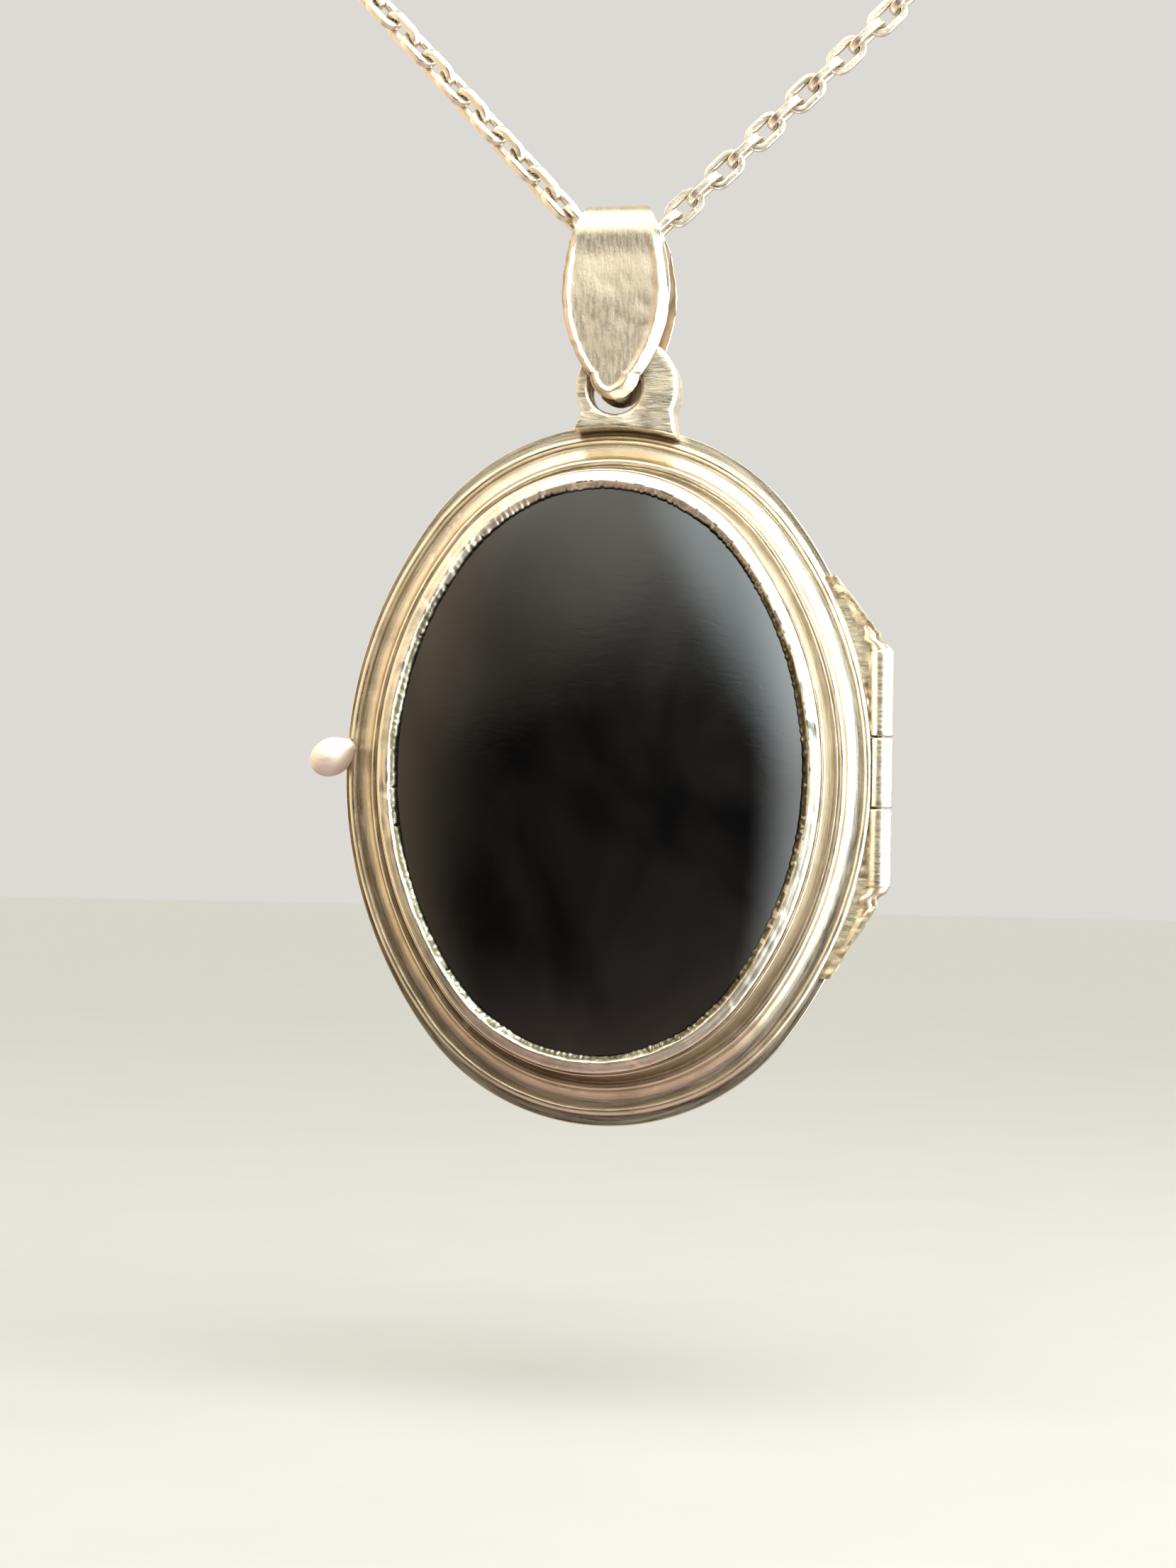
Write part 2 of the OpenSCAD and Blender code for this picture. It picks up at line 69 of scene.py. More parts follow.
LINK_PITCH, WIRE_D, LINK_W, LINK_SLACK = 1.44, 0.5, 1.6, 0.04
LEFT_LEAN, RIGHT_LEAN, LEFT_TWIST = 42.6, 46.7, 45.0
LEFT_LINKS, RIGHT_LINKS = 14, 15
VEE_X, VEE_Z = BAIL_X - 0.05, 26.65 - HANG_DROP
HALF_SPAN = 0.79  # half the distance between the strands' starts
LINK_ARC_R = (LINK_W - WIRE_D) / 2
LINK_HALF_STRAIGHT = (LINK_PITCH + LINK_SLACK + WIRE_D) / 2 - LINK_ARC_R
HOOK = LINK_PITCH / 2 - LINK_HALF_STRAIGHT  # from a strand's start to its first end arc's middle

# ------------------------------------------------------------------ the view
CAMERA_AZIMUTH = 8.75  # degrees round to the right of the front
CAMERA_ELEVATION = -2.0
CAMERA_ROLL = 1.1
CAMERA_DISTANCE = 150.0
CAMERA_LENS, CAMERA_SENSOR = 43.5, 24.0
AIM_LEFT, AIM_DOWN = 1.07, 0.52  # the view's middle, measured from the case's middle
FLOOR_DROP = 34.0  # from the case's middle down to the floor


def case_to_world(points):
    """Case points (x, y, h) to the row frame, still in millimetres."""
    p = np.asarray(points, float)
    return np.stack([p[..., 0], CASE_MID_Y - p[..., 2], p[..., 1] - HANG_DROP], -1)


# ------------------------------------------------------------------ meshes
def grid_faces(rings, around, wrap_rings=False, wrap_around=True):
    """Quads between neighbouring rings of equally many points."""
    i = np.arange(rings if wrap_rings else rings - 1)
    k = np.arange(around if wrap_around else around - 1)
    a = (i[:, None] * around + k[None, :]).ravel()
    b = (i[:, None] * around + (k[None, :] + 1) % around).ravel()
    j = (i + 1) % rings
    c = (j[:, None] * around + (k[None, :] + 1) % around).ravel()
    d = (j[:, None] * around + k[None, :]).ravel()
    return np.stack([a, b, c, d], 1).tolist()


class Build:
    """Collects lofted shells for one piece, each point with its place along the finish lines."""

    def __init__(self):
        self.points, self.flow, self.dull, self.faces = [], [], [], []
        self.count = 0

    def loft(self, rings, flow=None, wrap=False, caps=False, dull=0.0):
        """Skin over a list of rings, or closed over it with wrap, or with flat ends with caps."""
        rings = np.asarray(rings, float)
        n, m = rings.shape[:2]
        faces = grid_faces(n, m, wrap)
        if caps:
            faces.append(list(range(m)))
            faces.append(list(range((n - 1) * m, n * m)))
        base = self.count
        self.points.append(rings.reshape(-1, 3))
        flow = rings if flow is None else np.asarray(flow, float)
        self.flow.append(flow.reshape(-1, 3))
        self.dull.append(np.broadcast_to(dull, (n, m)).ravel())
        self.faces += [[v + base for v in f] for f in faces]
        self.count += n * m
        return self

    def piece(self, name, body, nodes, slot, material, sharp=35.0):
        mesh = bpy.data.meshes.new(name)
        points = np.concatenate(self.points) * MM
        mesh.from_pydata(points.tolist(), [], self.faces)
        attribute = mesh.attributes.new("flow", "FLOAT_VECTOR", "POINT")
        attribute.data.foreach_set("vector", np.concatenate(self.flow).astype("f").ravel())
        attribute = mesh.attributes.new("dull", "FLOAT", "POINT")
        attribute.data.foreach_set("value", np.concatenate(self.dull).astype("f"))
        made = bmesh_tidy(mesh)
        made.shade_smooth()
        made.set_sharp_from_angle(angle=math.radians(sharp))
        obj = new_object(name, made)
        made.materials.append(material)
        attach(obj, body)
        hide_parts(*nodes)
        return obj


def new_object(name, data):
    obj = bpy.data.objects.new(name, data)
    bpy.context.scene.collection.objects.link(obj)
    return obj


def bmesh_tidy(mesh):
    """Drops doubled points and turns every face outwards."""
    bm = bmesh.new()
    bm.from_mesh(mesh)
    bmesh.ops.remove_doubles(bm, verts=bm.verts, dist=1e-7)
    bmesh.ops.dissolve_degenerate(bm, edges=bm.edges, dist=1e-8)
    bmesh.ops.recalc_face_normals(bm, faces=bm.faces)
    bm.to_mesh(mesh)
    bm.free()
    return mesh


def ripple(around, seed, low, high):
    """Smooth closed noise round a ring, between -1 and 1, from so many to so many waves."""
    draw = np.random.default_rng(seed)
    t = np.linspace(0, 2 * math.pi, around, endpoint=False)
    waves = np.arange(low, high + 1)
    size = draw.normal(size=len(waves))
    phase = draw.uniform(0, 2 * math.pi, len(waves))
    total = (size[:, None] * np.cos(waves[:, None] * t + phase[:, None])).sum(0)
    return total / np.abs(total).max()


def grain(points, size, seed):
    """Cheap smooth noise in space, about -1 to 1, with features of about this size."""
    draw = np.random.default_rng(seed)
    total = np.zeros(np.shape(points)[:-1])
    for _ in range(10):
        direction = draw.normal(size=3)
        direction *= 2 * math.pi / (size * draw.uniform(0.7, 1.6) * np.linalg.norm(direction))
        total += np.sin(points @ direction + draw.uniform(0, 2 * math.pi))
    return total / 4


def smooth_step(x, low, high):
    t = np.clip((x - low) / (high - low), 0, 1)
    return t * t * (3 - 2 * t)


# ------------------------------------------------------------------ ovals
class Oval:
    """Four-arc oval. k is the distance between a side arc's centre and an end arc's centre."""

    SPLIT = math.atan2(3, 4)

    def __init__(self, half_w, k):
        self.side_centre, self.end_centre = 0.8 * k, 0.6 * k
        self.side_r = half_w + self.side_centre
        self.end_r = self.side_r - k

    def ring(self, angles, out, h):
        """Case points where the outline's normal has these angles, moved outwards by out."""
        c, s = np.cos(angles), np.sin(angles)
        side = np.abs(s) <= math.sin(self.SPLIT) + 1e-12
        r = np.where(side, self.side_r, self.end_r) + out
        x = np.where(side, -self.side_centre * np.sign(c), 0) + r * c
        y = np.where(side, 0, self.end_centre * np.sign(s)) + r * s
        return np.stack([x, y, np.broadcast_to(h, x.shape)], -1)

    def x_at(self, y, out=0.0):
        """Half width at a height y on the side arcs or end arcs."""
        split_y = 0.6 * (self.side_r + out)
        if abs(y) <= split_y:
            return math.sqrt((self.side_r + out) ** 2 - y * y) - self.side_centre
        return math.sqrt(max((self.end_r + out) ** 2 - (abs(y) - self.end_centre) ** 2, 0))


LID = Oval(LID_HALF_W, LID_K)
BACK = Oval(BACK_HALF_W, BACK_K)


def even_angles(around):
    """Normal angles spaced evenly along the lid's outline, starting at the hinge side."""
    fine = np.linspace(0, 2 * math.pi, 20001)
    p = LID.ring(fine, 0.0, 0.0)
    length = np.concatenate([[0], np.cumsum(np.linalg.norm(np.diff(p, axis=0), axis=1))])
    return np.interp(np.linspace(0, length[-1], around, endpoint=False), length, fine)


def arc(cx, cy, rx, ry, a0, a1, n):
    a = np.radians(np.linspace(a0, a1, n + 1))
    return [(cx + rx * math.cos(t), cy + ry * math.sin(t)) for t in a]


def soften(profile, radius, closed=True):
    """Rounds the corners of a profile."""
    p = np.array(profile, float)
    n = len(p)
    out = []
    for i in range(n):
        before, here, after = p[i - 1], p[i], p[(i + 1) % n]
        if not closed and i in (0, n - 1):
            out.append(here)
            continue
        a, b = before - here, after - here
        la, lb = np.linalg.norm(a), np.linalg.norm(b)
        if la < 1e-9 or lb < 1e-9:
            continue
        turn = math.degrees(math.acos(np.clip(-(a @ b) / (la * lb), -1, 1)))
        if turn < 14:
            out.append(here)
            continue
        cut = min(radius, 0.45 * la, 0.45 * lb)
        start, end = here + a / la * cut, here + b / lb * cut
        for t in (0, 0.25, 0.5, 0.75, 1):
            out.append((1 - t) ** 2 * start + 2 * t * (1 - t) * here + t * t * end)
    return np.array(out)


def refine(profile, longest, closed=True):
    """Adds points so that no stretch of the profile is longer than this."""
    out = []
    n = len(profile)
    for i in range(n if closed else n - 1):
        a, b = np.array(profile[i]), np.array(profile[(i + 1) % n])
        steps = max(1, math.ceil(np.linalg.norm(b - a) / longest))
        out += [a + (b - a) * t / steps for t in range(steps)]
    if not closed:
        out.append(np.array(profile[-1]))
    return np.array(out)


def oval_flow(angles, across, around_scale=16.0):
    """Finish lines that run round an oval: a circle of the same length, and the distance across."""
    t = np.linspace(0, 2 * math.pi, len(angles), endpoint=False)
    return np.stack(
        [around_scale * np.cos(t), around_scale * np.sin(t), np.full(len(angles), across)], -1
    )


def sweep(oval, profile, angles):
    """Rings of a profile swept round an oval, and the finish lines that run along them."""
    rings, flow, across = [], [], 0.0
    for i, (d, h) in enumerate(profile):
        if i:
            across += math.dist(profile[i - 1], (d, h))
        rings.append(oval.ring(angles, d, h))
        flow.append(oval_flow(angles, across))
    return np.array(rings), np.array(flow)


def carve(points, spans, radius=RELIEF_R):
    """Scoops case points out of the room round the other half's knuckles."""
    dx, h = points[..., 0] - HINGE_X, points[..., 2]
    r = np.hypot(dx, h)
    near = r < radius
    inside = np.zeros(r.shape, bool)
    for low, high in spans:
        inside |= (points[..., 1] > low - KNUCKLE_GAP) & (points[..., 1] < high + KNUCKLE_GAP)
    grow = np.where(near & inside, radius / np.maximum(r, 1e-6), 1.0)
    out = points.copy()
    out[..., 0] = HINGE_X + dx * grow
    out[..., 2] = h * grow
    return out


# ------------------------------------------------------------------ lid
ANGLES = even_angles(900)
FINE_ANGLES = even_angles(1800)
TOP_SPAN = (HINGE_UPPER, HINGE_TOP)
MIDDLE_SPAN = (HINGE_LOWER, HINGE_UPPER)
BOTTOM_SPAN = (HINGE_BOTTOM, HINGE_LOWER)


def lid_moulding(material):
    profile = (
        [(0, PARTING_GAP)]
        + arc(-0.3, 0.38, 0.24, 0.24, 0, 180, 10)
        + arc(-0.58, 0.86, 0.8, 0.46, 270, 180, 8)
        + arc(-1.58, 1.02, 0.18, 0.18, 0, 180, 8)
        + arc(-1.78, 3.6, 0.52, 2.58, 270, 180, 14)
        + [(-2.34, 3.66), (-2.44, 3.66), (-2.5, 3.6)]
        + [(-2.5, 1.2), (-2.2, 0.75), (-1.65, 0.75), (-1.65, PARTING_GAP)]
    )
    profile = refine(soften(profile, 0.05), 0.13)
    rings, flow = sweep(LID, profile, ANGLES)
    height = rings[..., 2]
    worn = smooth_step(height, 0.15, 0.6)
    dents = grain(rings * [1, 1, 0.4], 1.6, 21) * grain(rings, 5.0, 22)
    rings[..., 2] -= worn * 0.03 * np.clip(dents, 0, 1)
    rings[..., 2] += worn * 0.014 * ripple(len(ANGLES), 31, 6, 60)
    rings = carve(rings, [MIDDLE_SPAN])
    build = Build().loft(case_to_world(rings), flow, wrap=True)
    return build.piece("lid_rim", "lid", ["lid_moulding"], "silver", material)


def bezel_ring(material):
    """Collar round the stone: a bright rubbed band on top and a lip pressed down in small bites."""
    outer = [(-2.5, 1.75), (-2.5, 4.05)]
    band = arc(-2.64, 4.22, 0.14, 0.14, 0, 70, 5) + [(-2.8, 4.4), (-2.96, 4.45), (-3.05, 4.46)]
    lip = [(-3.11, 4.42), (-3.2, 4.36), (-3.29, 4.3), (-3.36, 4.23), (-3.4, 4.15)]
    inner = [(-3.3, 4.14), (-2.9, 4.0), (-2.9, 1.75)]
    profile = refine(outer + band + lip + inner, 0.16)
    rings, flow = sweep(LID, profile, FINE_ANGLES)
    n = len(FINE_ANGLES)
    wander = ripple(n, 42, 4, 30)
    bites = 0.5 * ripple(n, 43, 150, 260) + 0.5 * ripple(n, 44, 60, 150)
    nicks = np.clip(ripple(n, 45, 20, 220) - 0.55, 0, 1)
    slope = smooth_step(-profile[:, 0], 3.05, 3.16) * smooth_step(profile[:, 1], 4.0, 4.14)
    crease = np.exp(-(((-profile[:, 0] - 3.1) / 0.06) ** 2)) * smooth_step(profile[:, 1], 4.2, 4.3)
    edge = smooth_step(-profile[:, 0], 3.2, 3.38) * (profile[:, 1] > 4.1)
    c, s = np.cos(FINE_ANGLES), np.sin(FINE_ANGLES)
    for i in range(len(profile)):
        inwards = edge[i] * (0.06 * bites + 0.06 * wander - 0.25 * nicks)
        inwards += crease[i] * 0.05 * ripple(n, 46, 5, 60)
        rings[i, :, 0] -= inwards * c
        rings[i, :, 1] -= inwards * s
        rings[i, :, 2] += slope[i] * 0.035 * bites - 0.05 * nicks * edge[i]
    top = smooth_step(rings[..., 2], 4.2, 4.4)
    rings[..., 2] -= top * 0.05 * np.clip(grain(rings, 0.9, 47) * grain(rings, 3.0, 48), 0, 1)
    rings[..., 2] -= top * 0.012 * (1 + ripple(n, 49, 10, 90))
    # The lip is coloured darker all round, least along the top of the oval.
    lip_darkening = 0.25 + 0.7 * smooth_step(-s, -0.85, -0.4)
    dull = slope[:, None] * (lip_darkening + 0.25 * bites + 0.15 * ripple(n, 40, 12, 60))
    build = Build().loft(case_to_world(rings), flow, wrap=True, dull=dull)
    return build.piece("bezel_collar", "lid", ["bezel"], "silver", material)


def crown_height(x, y):
    """Height of the stone's domed face over a case point."""
    rest = np.clip(1 - (x / DOME[0]) ** 2 - (y / DOME[1]) ** 2, 0, 1)
    return CROWN_H - DOME[2] + DOME[2] * np.sqrt(rest)


def stone(material):
    outline = LID.ring(ANGLES, -STONE_INSET, 0.0)
    rings = []
    for t in np.linspace(0.002, 1, 70):
        ring = outline * t
        ring[:, 2] = crown_height(ring[:, 0], ring[:, 1])
        rings.append(ring)
    girdle = rings[-1][:, 2].copy()
    for drop, inset in ((0.02, 0.012), (0.08, 0.02), (0.4, 0.02)):
        ring = LID.ring(ANGLES, -STONE_INSET - inset, 0.0)
        ring[:, 2] = girdle - drop
        rings.append(ring)
    for inset, h in ((0.02, STONE_SEAT_H + 0.2), (0.1, STONE_SEAT_H + 0.04), (0.3, STONE_SEAT_H)):
        rings.append(LID.ring(ANGLES, -STONE_INSET - inset, h))
    build = Build().loft(case_to_world(rings), caps=True)
    return build.piece("onyx_cabochon", "lid", ["cabochon"], "black_stone", material)


def plate(name, body, node, slot, material, size, side=1):
    """Thin oval plate with softened edges; side is 1 in the lid and -1 in the back."""
    inset, low, high = size
    if side < 0:
        low, high = -high, -low
    soft = min(0.05, (high - low) / 3)
    rings = []
    for further, h in ((2.0, low), (0.4, low), (soft, low), (0, low + soft), (0, high - soft),
                       (soft, high), (0.4, high), (2.0, high)):
        rings.append(LID.ring(ANGLES[::3], -inset - further, h))
    build = Build().loft(case_to_world(rings), caps=True)
    return build.piece(name, body, [node], slot, material)


def photo_frame(name, body, node, material, side):
    """Ring that holds a window and its card in; side is 1 in the lid and -1 in the back."""
    profile = [(-2.52, 1.3), (-2.52, 0.2), (-2.62, 0.1), (-3.55, 0.1), (-3.75, 0.25),
               (-3.75, 0.52), (-2.9, 0.52), (-2.9, 1.3)]
    profile = refine(soften(profile, 0.06), 0.2)
    rings, flow = sweep(LID, profile, ANGLES[::2])
    rings[..., 2] = side * (rings[..., 2] + 0.012 * grain(rings, 1.2, 51) ** 2)
    build = Build().loft(case_to_world(rings), flow, wrap=True)
    return build.piece(name, body, [node], "gilt", material)


# ------------------------------------------------------------------ back half
def back_cover(material):
    outside = (
        [(-0.05, 0), (0, -0.05), (0, -0.5)]
        + arc(-0.25, -0.5, 0.25, 0.25, 0, -90, 6)
        + arc(-0.45, -1.25, 0.75, 0.45, 90, 180, 8)
        + arc(-1.45, -1.32, 0.2, 0.2, 0, -180, 10)
        + arc(-1.75, -BACK_DEPTH, 1.15, BACK_DEPTH - 1.3, 90, 180, 10)
        + [(-4, -BACK_DEPTH)]
    )
    outside = refine(soften(outside, 0.04, closed=False), 0.13, closed=False)
    skin, _ = sweep(BACK, outside, ANGLES)
    floor = [skin[-1] * [t, t, 1] for t in np.linspace(1, 0.01, 26)[1:]]
    rings = floor[::-1] + list(skin[::-1])
    inside = refine([(-1.7, 0), (-1.7, -0.5), (-2.5, -0.5), (-2.5, -1.35), (-5, -1.35)], 0.2,
                    closed=False)
    pocket, _ = sweep(LID, inside, ANGLES)
    rings += list(pocket)
    rings += [pocket[-1] * [t, t, 1] for t in np.linspace(1, 0.01, 8)[1:]]
    rings = np.array(rings)
    rings = carve(rings, [TOP_SPAN, BOTTOM_SPAN])
    outer_face = smooth_step(-rings[..., 2], 1.7, 1.95)
    rings[..., 2] += outer_face * 0.03 * np.clip(grain(rings, 3.0, 62) * grain(rings, 7.0, 63), 0, 1)
    across = np.zeros(len(rings))
    steps = np.linalg.norm(np.diff(rings[:, 0], axis=0), axis=1)
    across[1:] = np.cumsum(steps)
    flow = np.array([oval_flow(ANGLES, a) for a in across])
    build = Build().loft(case_to_world(rings), flow, caps=True)
    return build.piece("back_shell", "case", ["back_cover"], "silver", material)


def snap_rim(material):
    profile = [(-1.7, -0.5), (-1.7, 0.52), (-1.8, 0.62), (-1.92, 0.62), (-2.0, 0.54), (-2.0, -0.5)]
    rings, flow = sweep(LID, refine(soften(profile, 0.05), 0.12), ANGLES[::2])
    build = Build().loft(case_to_world(rings), flow, wrap=True)
    return build.piece("snap_collar", "case", ["back_snap_rim"], "silver", material)


# ------------------------------------------------------------------ hinge
def web_edge_x(y):
    """Outer edge of the flat web that carries the knuckles."""
    top = y > 0
    corner_y = HINGE_TOP + WEB_SHOULDER if top else -(HINGE_BOTTOM - WEB_SHOULDER)
    turn_y = HINGE_TOP - 0.15 if top else -(HINGE_BOTTOM + 0.15)
    a = abs(y)
    if a > corner_y:
        t = (a - corner_y) / (BEARER_Y - corner_y)
        return HINGE_X + WEB_SHOULDER + t * (BEARER_X - HINGE_X - WEB_SHOULDER)
    if a > turn_y:
        t = (a - turn_y) / (corner_y - turn_y)
        return HINGE_X + KNUCKLE_R + t * (WEB_SHOULDER - KNUCKLE_R)
    return HINGE_X + KNUCKLE_R


def hinge_web(name, body, node, oval, h_low, spans, seed, material):
    """Webs soldered between a rim and its knuckles, with a raised outer border and rough solder."""
    h_high = h_low + BEARER_T
    build = Build()
    for low, high in spans:
        rings = []
        for y in np.linspace(low, high, max(8, int((high - low) / 0.09))):
            inner = oval.x_at(y) - WEB_LAP
            outer = web_edge_x(y)
            past = max(y - HINGE_TOP, HINGE_BOTTOM - y)
            if past < 0.01:
                outer = HINGE_X - 0.1
            elif past >= WEB_PAST_HINGE:
                outer = min(outer, HINGE_X - 0.05)
            elif body == "case":
                outer = min(outer, HINGE_X - RELIEF_R)
            else:
                outer = min(outer, HINGE_X + 0.38 - 0.43 * smooth_step(past, 0.1, 0.55))
            outer = max(outer, inner + 0.02)
            width = outer - inner
            u = np.array([0, 0.25, 0.5, 0.75, 0.9, 1])
            border = smooth_step(u * width, width - 0.5, width - 0.28)
            mid = (h_low + h_high) / 2
            face = h_high - 0.2 * (1 - border) * min(1, width)
            top = np.stack([inner + u * width, np.full(6, y), face], -1)
            edge = np.array([[outer, y, mid + 0.08], [outer, y, mid - 0.08]])
            low_u = u[::-1]
            bottom = np.stack([inner + low_u * width, np.full(6, y), np.full(6, h_low)], -1)
            top[-1, 0] -= 0.06
            bottom[0, 0] -= 0.06
            rings.append(np.concatenate([top, edge, bottom]))
        rings = np.array(rings)
        lumps = grain(rings, 0.5, seed) * 0.035 + grain(rings, 1.5, seed + 1) * 0.02
        upper = rings[..., 2] > (h_low + h_high) / 2 + 0.02
        rings[..., 2] += np.where(upper, np.minimum(lumps, 0.02), 0)
        # The web's upper face is coloured darker.
        build.loft(case_to_world(rings), caps=True, dull=0.35 * upper)
    if body == "lid":
        for end, side in ((HINGE_TOP, 1), (HINGE_BOTTOM, -1)):
            build.loft(case_to_world(web_border(end, side, h_low, seed)), caps=True)
    return build.piece(name, body, [node], "silver", material)


def web_border(end, side, h_low, seed):
    """Tapering half-round edge that carries the line of the hinge tube on to the rim."""
    around, rows = 28, 60
    a = np.linspace(0, 2 * math.pi, around, endpoint=False)
    rings = []
    for t in np.linspace(0, 1, rows):
        y = end - 0.3 * side + (side * BEARER_Y - end + 0.3 * side) * t
        r = 0.6 - 0.4 * smooth_step(t, 0.0, 0.75)
        past = (y - end) * side
        limit = HINGE_X + 0.6 - 0.64 * smooth_step(past, 0.1, WEB_PAST_HINGE)
        x = min(limit, web_edge_x(y) + 0.05) - r
        h = np.maximum(r * np.sin(a), h_low)
        rings.append(np.stack([x + r * np.cos(a), np.full(around, y), h], -1))
    rings = np.array(rings)
    rings[..., 2] = np.maximum(rings[..., 2] + 0.012 * grain(rings, 0.8, seed + 3) - 0.012, h_low)
    return rings


def turned(profile, around=48):
    """Rings of a closed or open profile (radius, y) turned about the hinge axis."""
    a = np.linspace(0, 2 * math.pi, around, endpoint=False)
    return np.array([
        np.stack([HINGE_X + r * np.cos(a), np.full(around, y), r * np.sin(a)], -1)
        for r, y in profile
    ])


def knuckle(name, body, node, y0, y1, material):
    profile = [(BORE_R, y0), (KNUCKLE_R, y0), (KNUCKLE_R, y1), (BORE_R, y1)]
    rings = turned(refine(soften(profile, 0.07), 0.25))
    build = Build().loft(case_to_world(rings), wrap=True)
    return build.piece(name, body, [node], "silver", material)


def hinge_pin(material):
    profile = [(0.01, HINGE_BOTTOM), (PIN_R - 0.12, HINGE_BOTTOM + 0.01),
               (PIN_R - 0.03, HINGE_BOTTOM + 0.06), (PIN_R, HINGE_BOTTOM + 0.16),
               (PIN_R, HINGE_TOP - 0.16), (PIN_R - 0.03, HINGE_TOP - 0.06),
               (PIN_R - 0.12, HINGE_TOP - 0.01), (0.01, HINGE_TOP)]
    build = Build().loft(case_to_world(turned(refine(profile, 0.6, closed=False), 24)), caps=True)
    return build.piece("hinge_pin_rod", "case", ["hinge_pin"], "pin_silver", material)


def thumb_ball(material):
    """Smooth egg-shaped ball on a short peg, leaning up towards the case."""
    ball, half_long, half_wide, tilt, peg_r = (-14.82, 0.7, 0.75), 1.2, 1.0, 31.0, 0.34
    profile = []
    for a in np.radians(np.linspace(-90, 48, 40)):
        profile.append((half_wide * math.cos(a) + 0.002, half_long * math.sin(a)))
    r0, l0 = profile[-1]
    profile += [(peg_r + (r0 - peg_r) * (1 - t) ** 1.3, l0 + 0.5 * t) for t in (0.25, 0.5, 0.75, 1)]
    profile += [(peg_r, 1.28), (peg_r - 0.1, 1.36), (0.05, 1.4)]
    a = np.linspace(0, 2 * math.pi, 56, endpoint=False)
    rings = np.array([
        np.stack([np.full(len(a), along), r * np.cos(a), r * np.sin(a)], -1)
        for r, along in profile
    ])
    c, s = math.cos(math.radians(tilt)), math.sin(math.radians(tilt))
    x = ball[0] + rings[..., 0] * c - rings[..., 1] * s
    y = ball[1] + rings[..., 0] * s + rings[..., 1] * c
    h = ball[2] + rings[..., 2]
    h = np.where(x > -BACK_HALF_W - 0.3, np.maximum(h, PARTING_GAP + 0.02), h)
    build = Build().loft(case_to_world(np.stack([x, y, h], -1)), caps=True)
    return build.piece("thumb_bead", "lid", ["thumb_ball"], "silver", material)


# ------------------------------------------------------------------ lug
def lug_reach(angles):
    """Distance from the hole's middle to the lug's edge in each direction."""
    r = np.arange(LUG_HOLE_R, 6.0, 0.01)
    x = BAIL_X + r[None, :] * np.cos(angles)[:, None]
    y = LUG_Y + r[None, :] * np.sin(angles)[:, None]
    disc = np.hypot(x - LUG_X, y - LUG_Y) < LUG_R
    foot = np.ones(x.shape, bool)
    corners = [(1.0, 17.0), (3.65, 17.0), (3.3, 19.2), (-1.45, 19.2), (-2.0, 17.8), (-1.9, 17.0)]
    for (ax, ay), (bx, by) in zip(corners, corners[1:] + corners[:1]):
        foot &= (bx - ax) * (y - ay) - (by - ay) * (x - ax) > -1e-9
    clear = np.hypot(x, y - LID.end_centre) > LID.end_r + 0.12
    inside = (disc | foot) & clear
    stop = np.argmin(inside, axis=1)
    return r[np.maximum(stop - 1, 0)]


def lug_plate(name, node, h_seam, h_face, seed, material):
    """One of the lug's two soldered plates: a ring of points round its hole for each level."""
    around = 420
    a = np.linspace(0, 2 * math.pi, around, endpoint=False)
    edge = lug_reach(a)
    for _ in range(3):
        edge = (np.roll(edge, 1) + edge * 2 + np.roll(edge, -1)) / 4
    edge = edge - 0.02 + 0.015 * ripple(around, seed, 6, 50)
    sign = 1 if h_face > h_seam else -1
    crisp = 1 - 0.8 * smooth_step(-np.sin(a), 0.6, 0.8)
    rings = []

    def add(share, cut, h):
        inner = LUG_HOLE_R + 0.005
        r = inner + (edge - inner) * share + cut * (crisp if share == 1 else 1)
        rings.append(np.stack([BAIL_X + r * np.cos(a), LUG_Y + r * np.sin(a),
                               np.full(around, h)], -1))

    add(0, 0.03, h_seam)
    add(0, 0.0, h_seam + sign * 0.05)
    add(0, 0.0, h_face - sign * 0.22)
    add(0, 0.03, h_face - sign * 0.1)
    add(0, 0.1, h_face - sign * 0.03)
    add(0, 0.22, h_face)
    for share in (0.3, 0.45, 0.6, 0.75, 0.87):
        add(share, 0.0, h_face)
    add(1, -0.2, h_face - sign * 0.01)
    add(1, -0.1, h_face - sign * 0.05)
    add(1, -0.03, h_face - sign * 0.13)
    add(1, 0.0, h_face - sign * 0.26)
    add(1, 0.0, h_seam + sign * 0.09)
    add(1, -0.035, h_seam)
    rings = np.array(rings)
    face = np.abs(rings[..., 2] - h_seam) > 1.0
    rings[..., 2] -= sign * face * 0.03 * (1 + np.clip(grain(rings, 1.4, seed + 1), -1, 1))
    build = Build().loft(case_to_world(rings), wrap=True)
    return build.piece(name, "case", [node], "silver", material)


# ------------------------------------------------------------------ bail
def leaf_half_width(y):
    r = LEAF_LOWER_R if y <= LEAF_WIDE_Y else LEAF_UPPER_R
    lens = LEAF_HALF_W - r + math.sqrt(max(r * r - (y - LEAF_WIDE_Y) ** 2, 0))
    tip = math.sqrt(max(LEAF_TIP_R ** 2 - (y - LEAF_TIP_Y - LEAF_TIP_R) ** 2, 0))
    return max(lens, tip) if y < LEAF_WIDE_Y else lens


def tip_distance(x, y):
    """How far inside the leaf's round tip a point is; large once it is above the tip."""
    rise = y - LEAF_TIP_Y - LEAF_TIP_R
    if rise > 0:
        return np.full(np.shape(x), 9.0)
    return np.maximum(LEAF_TIP_R - np.hypot(x, rise), 0)


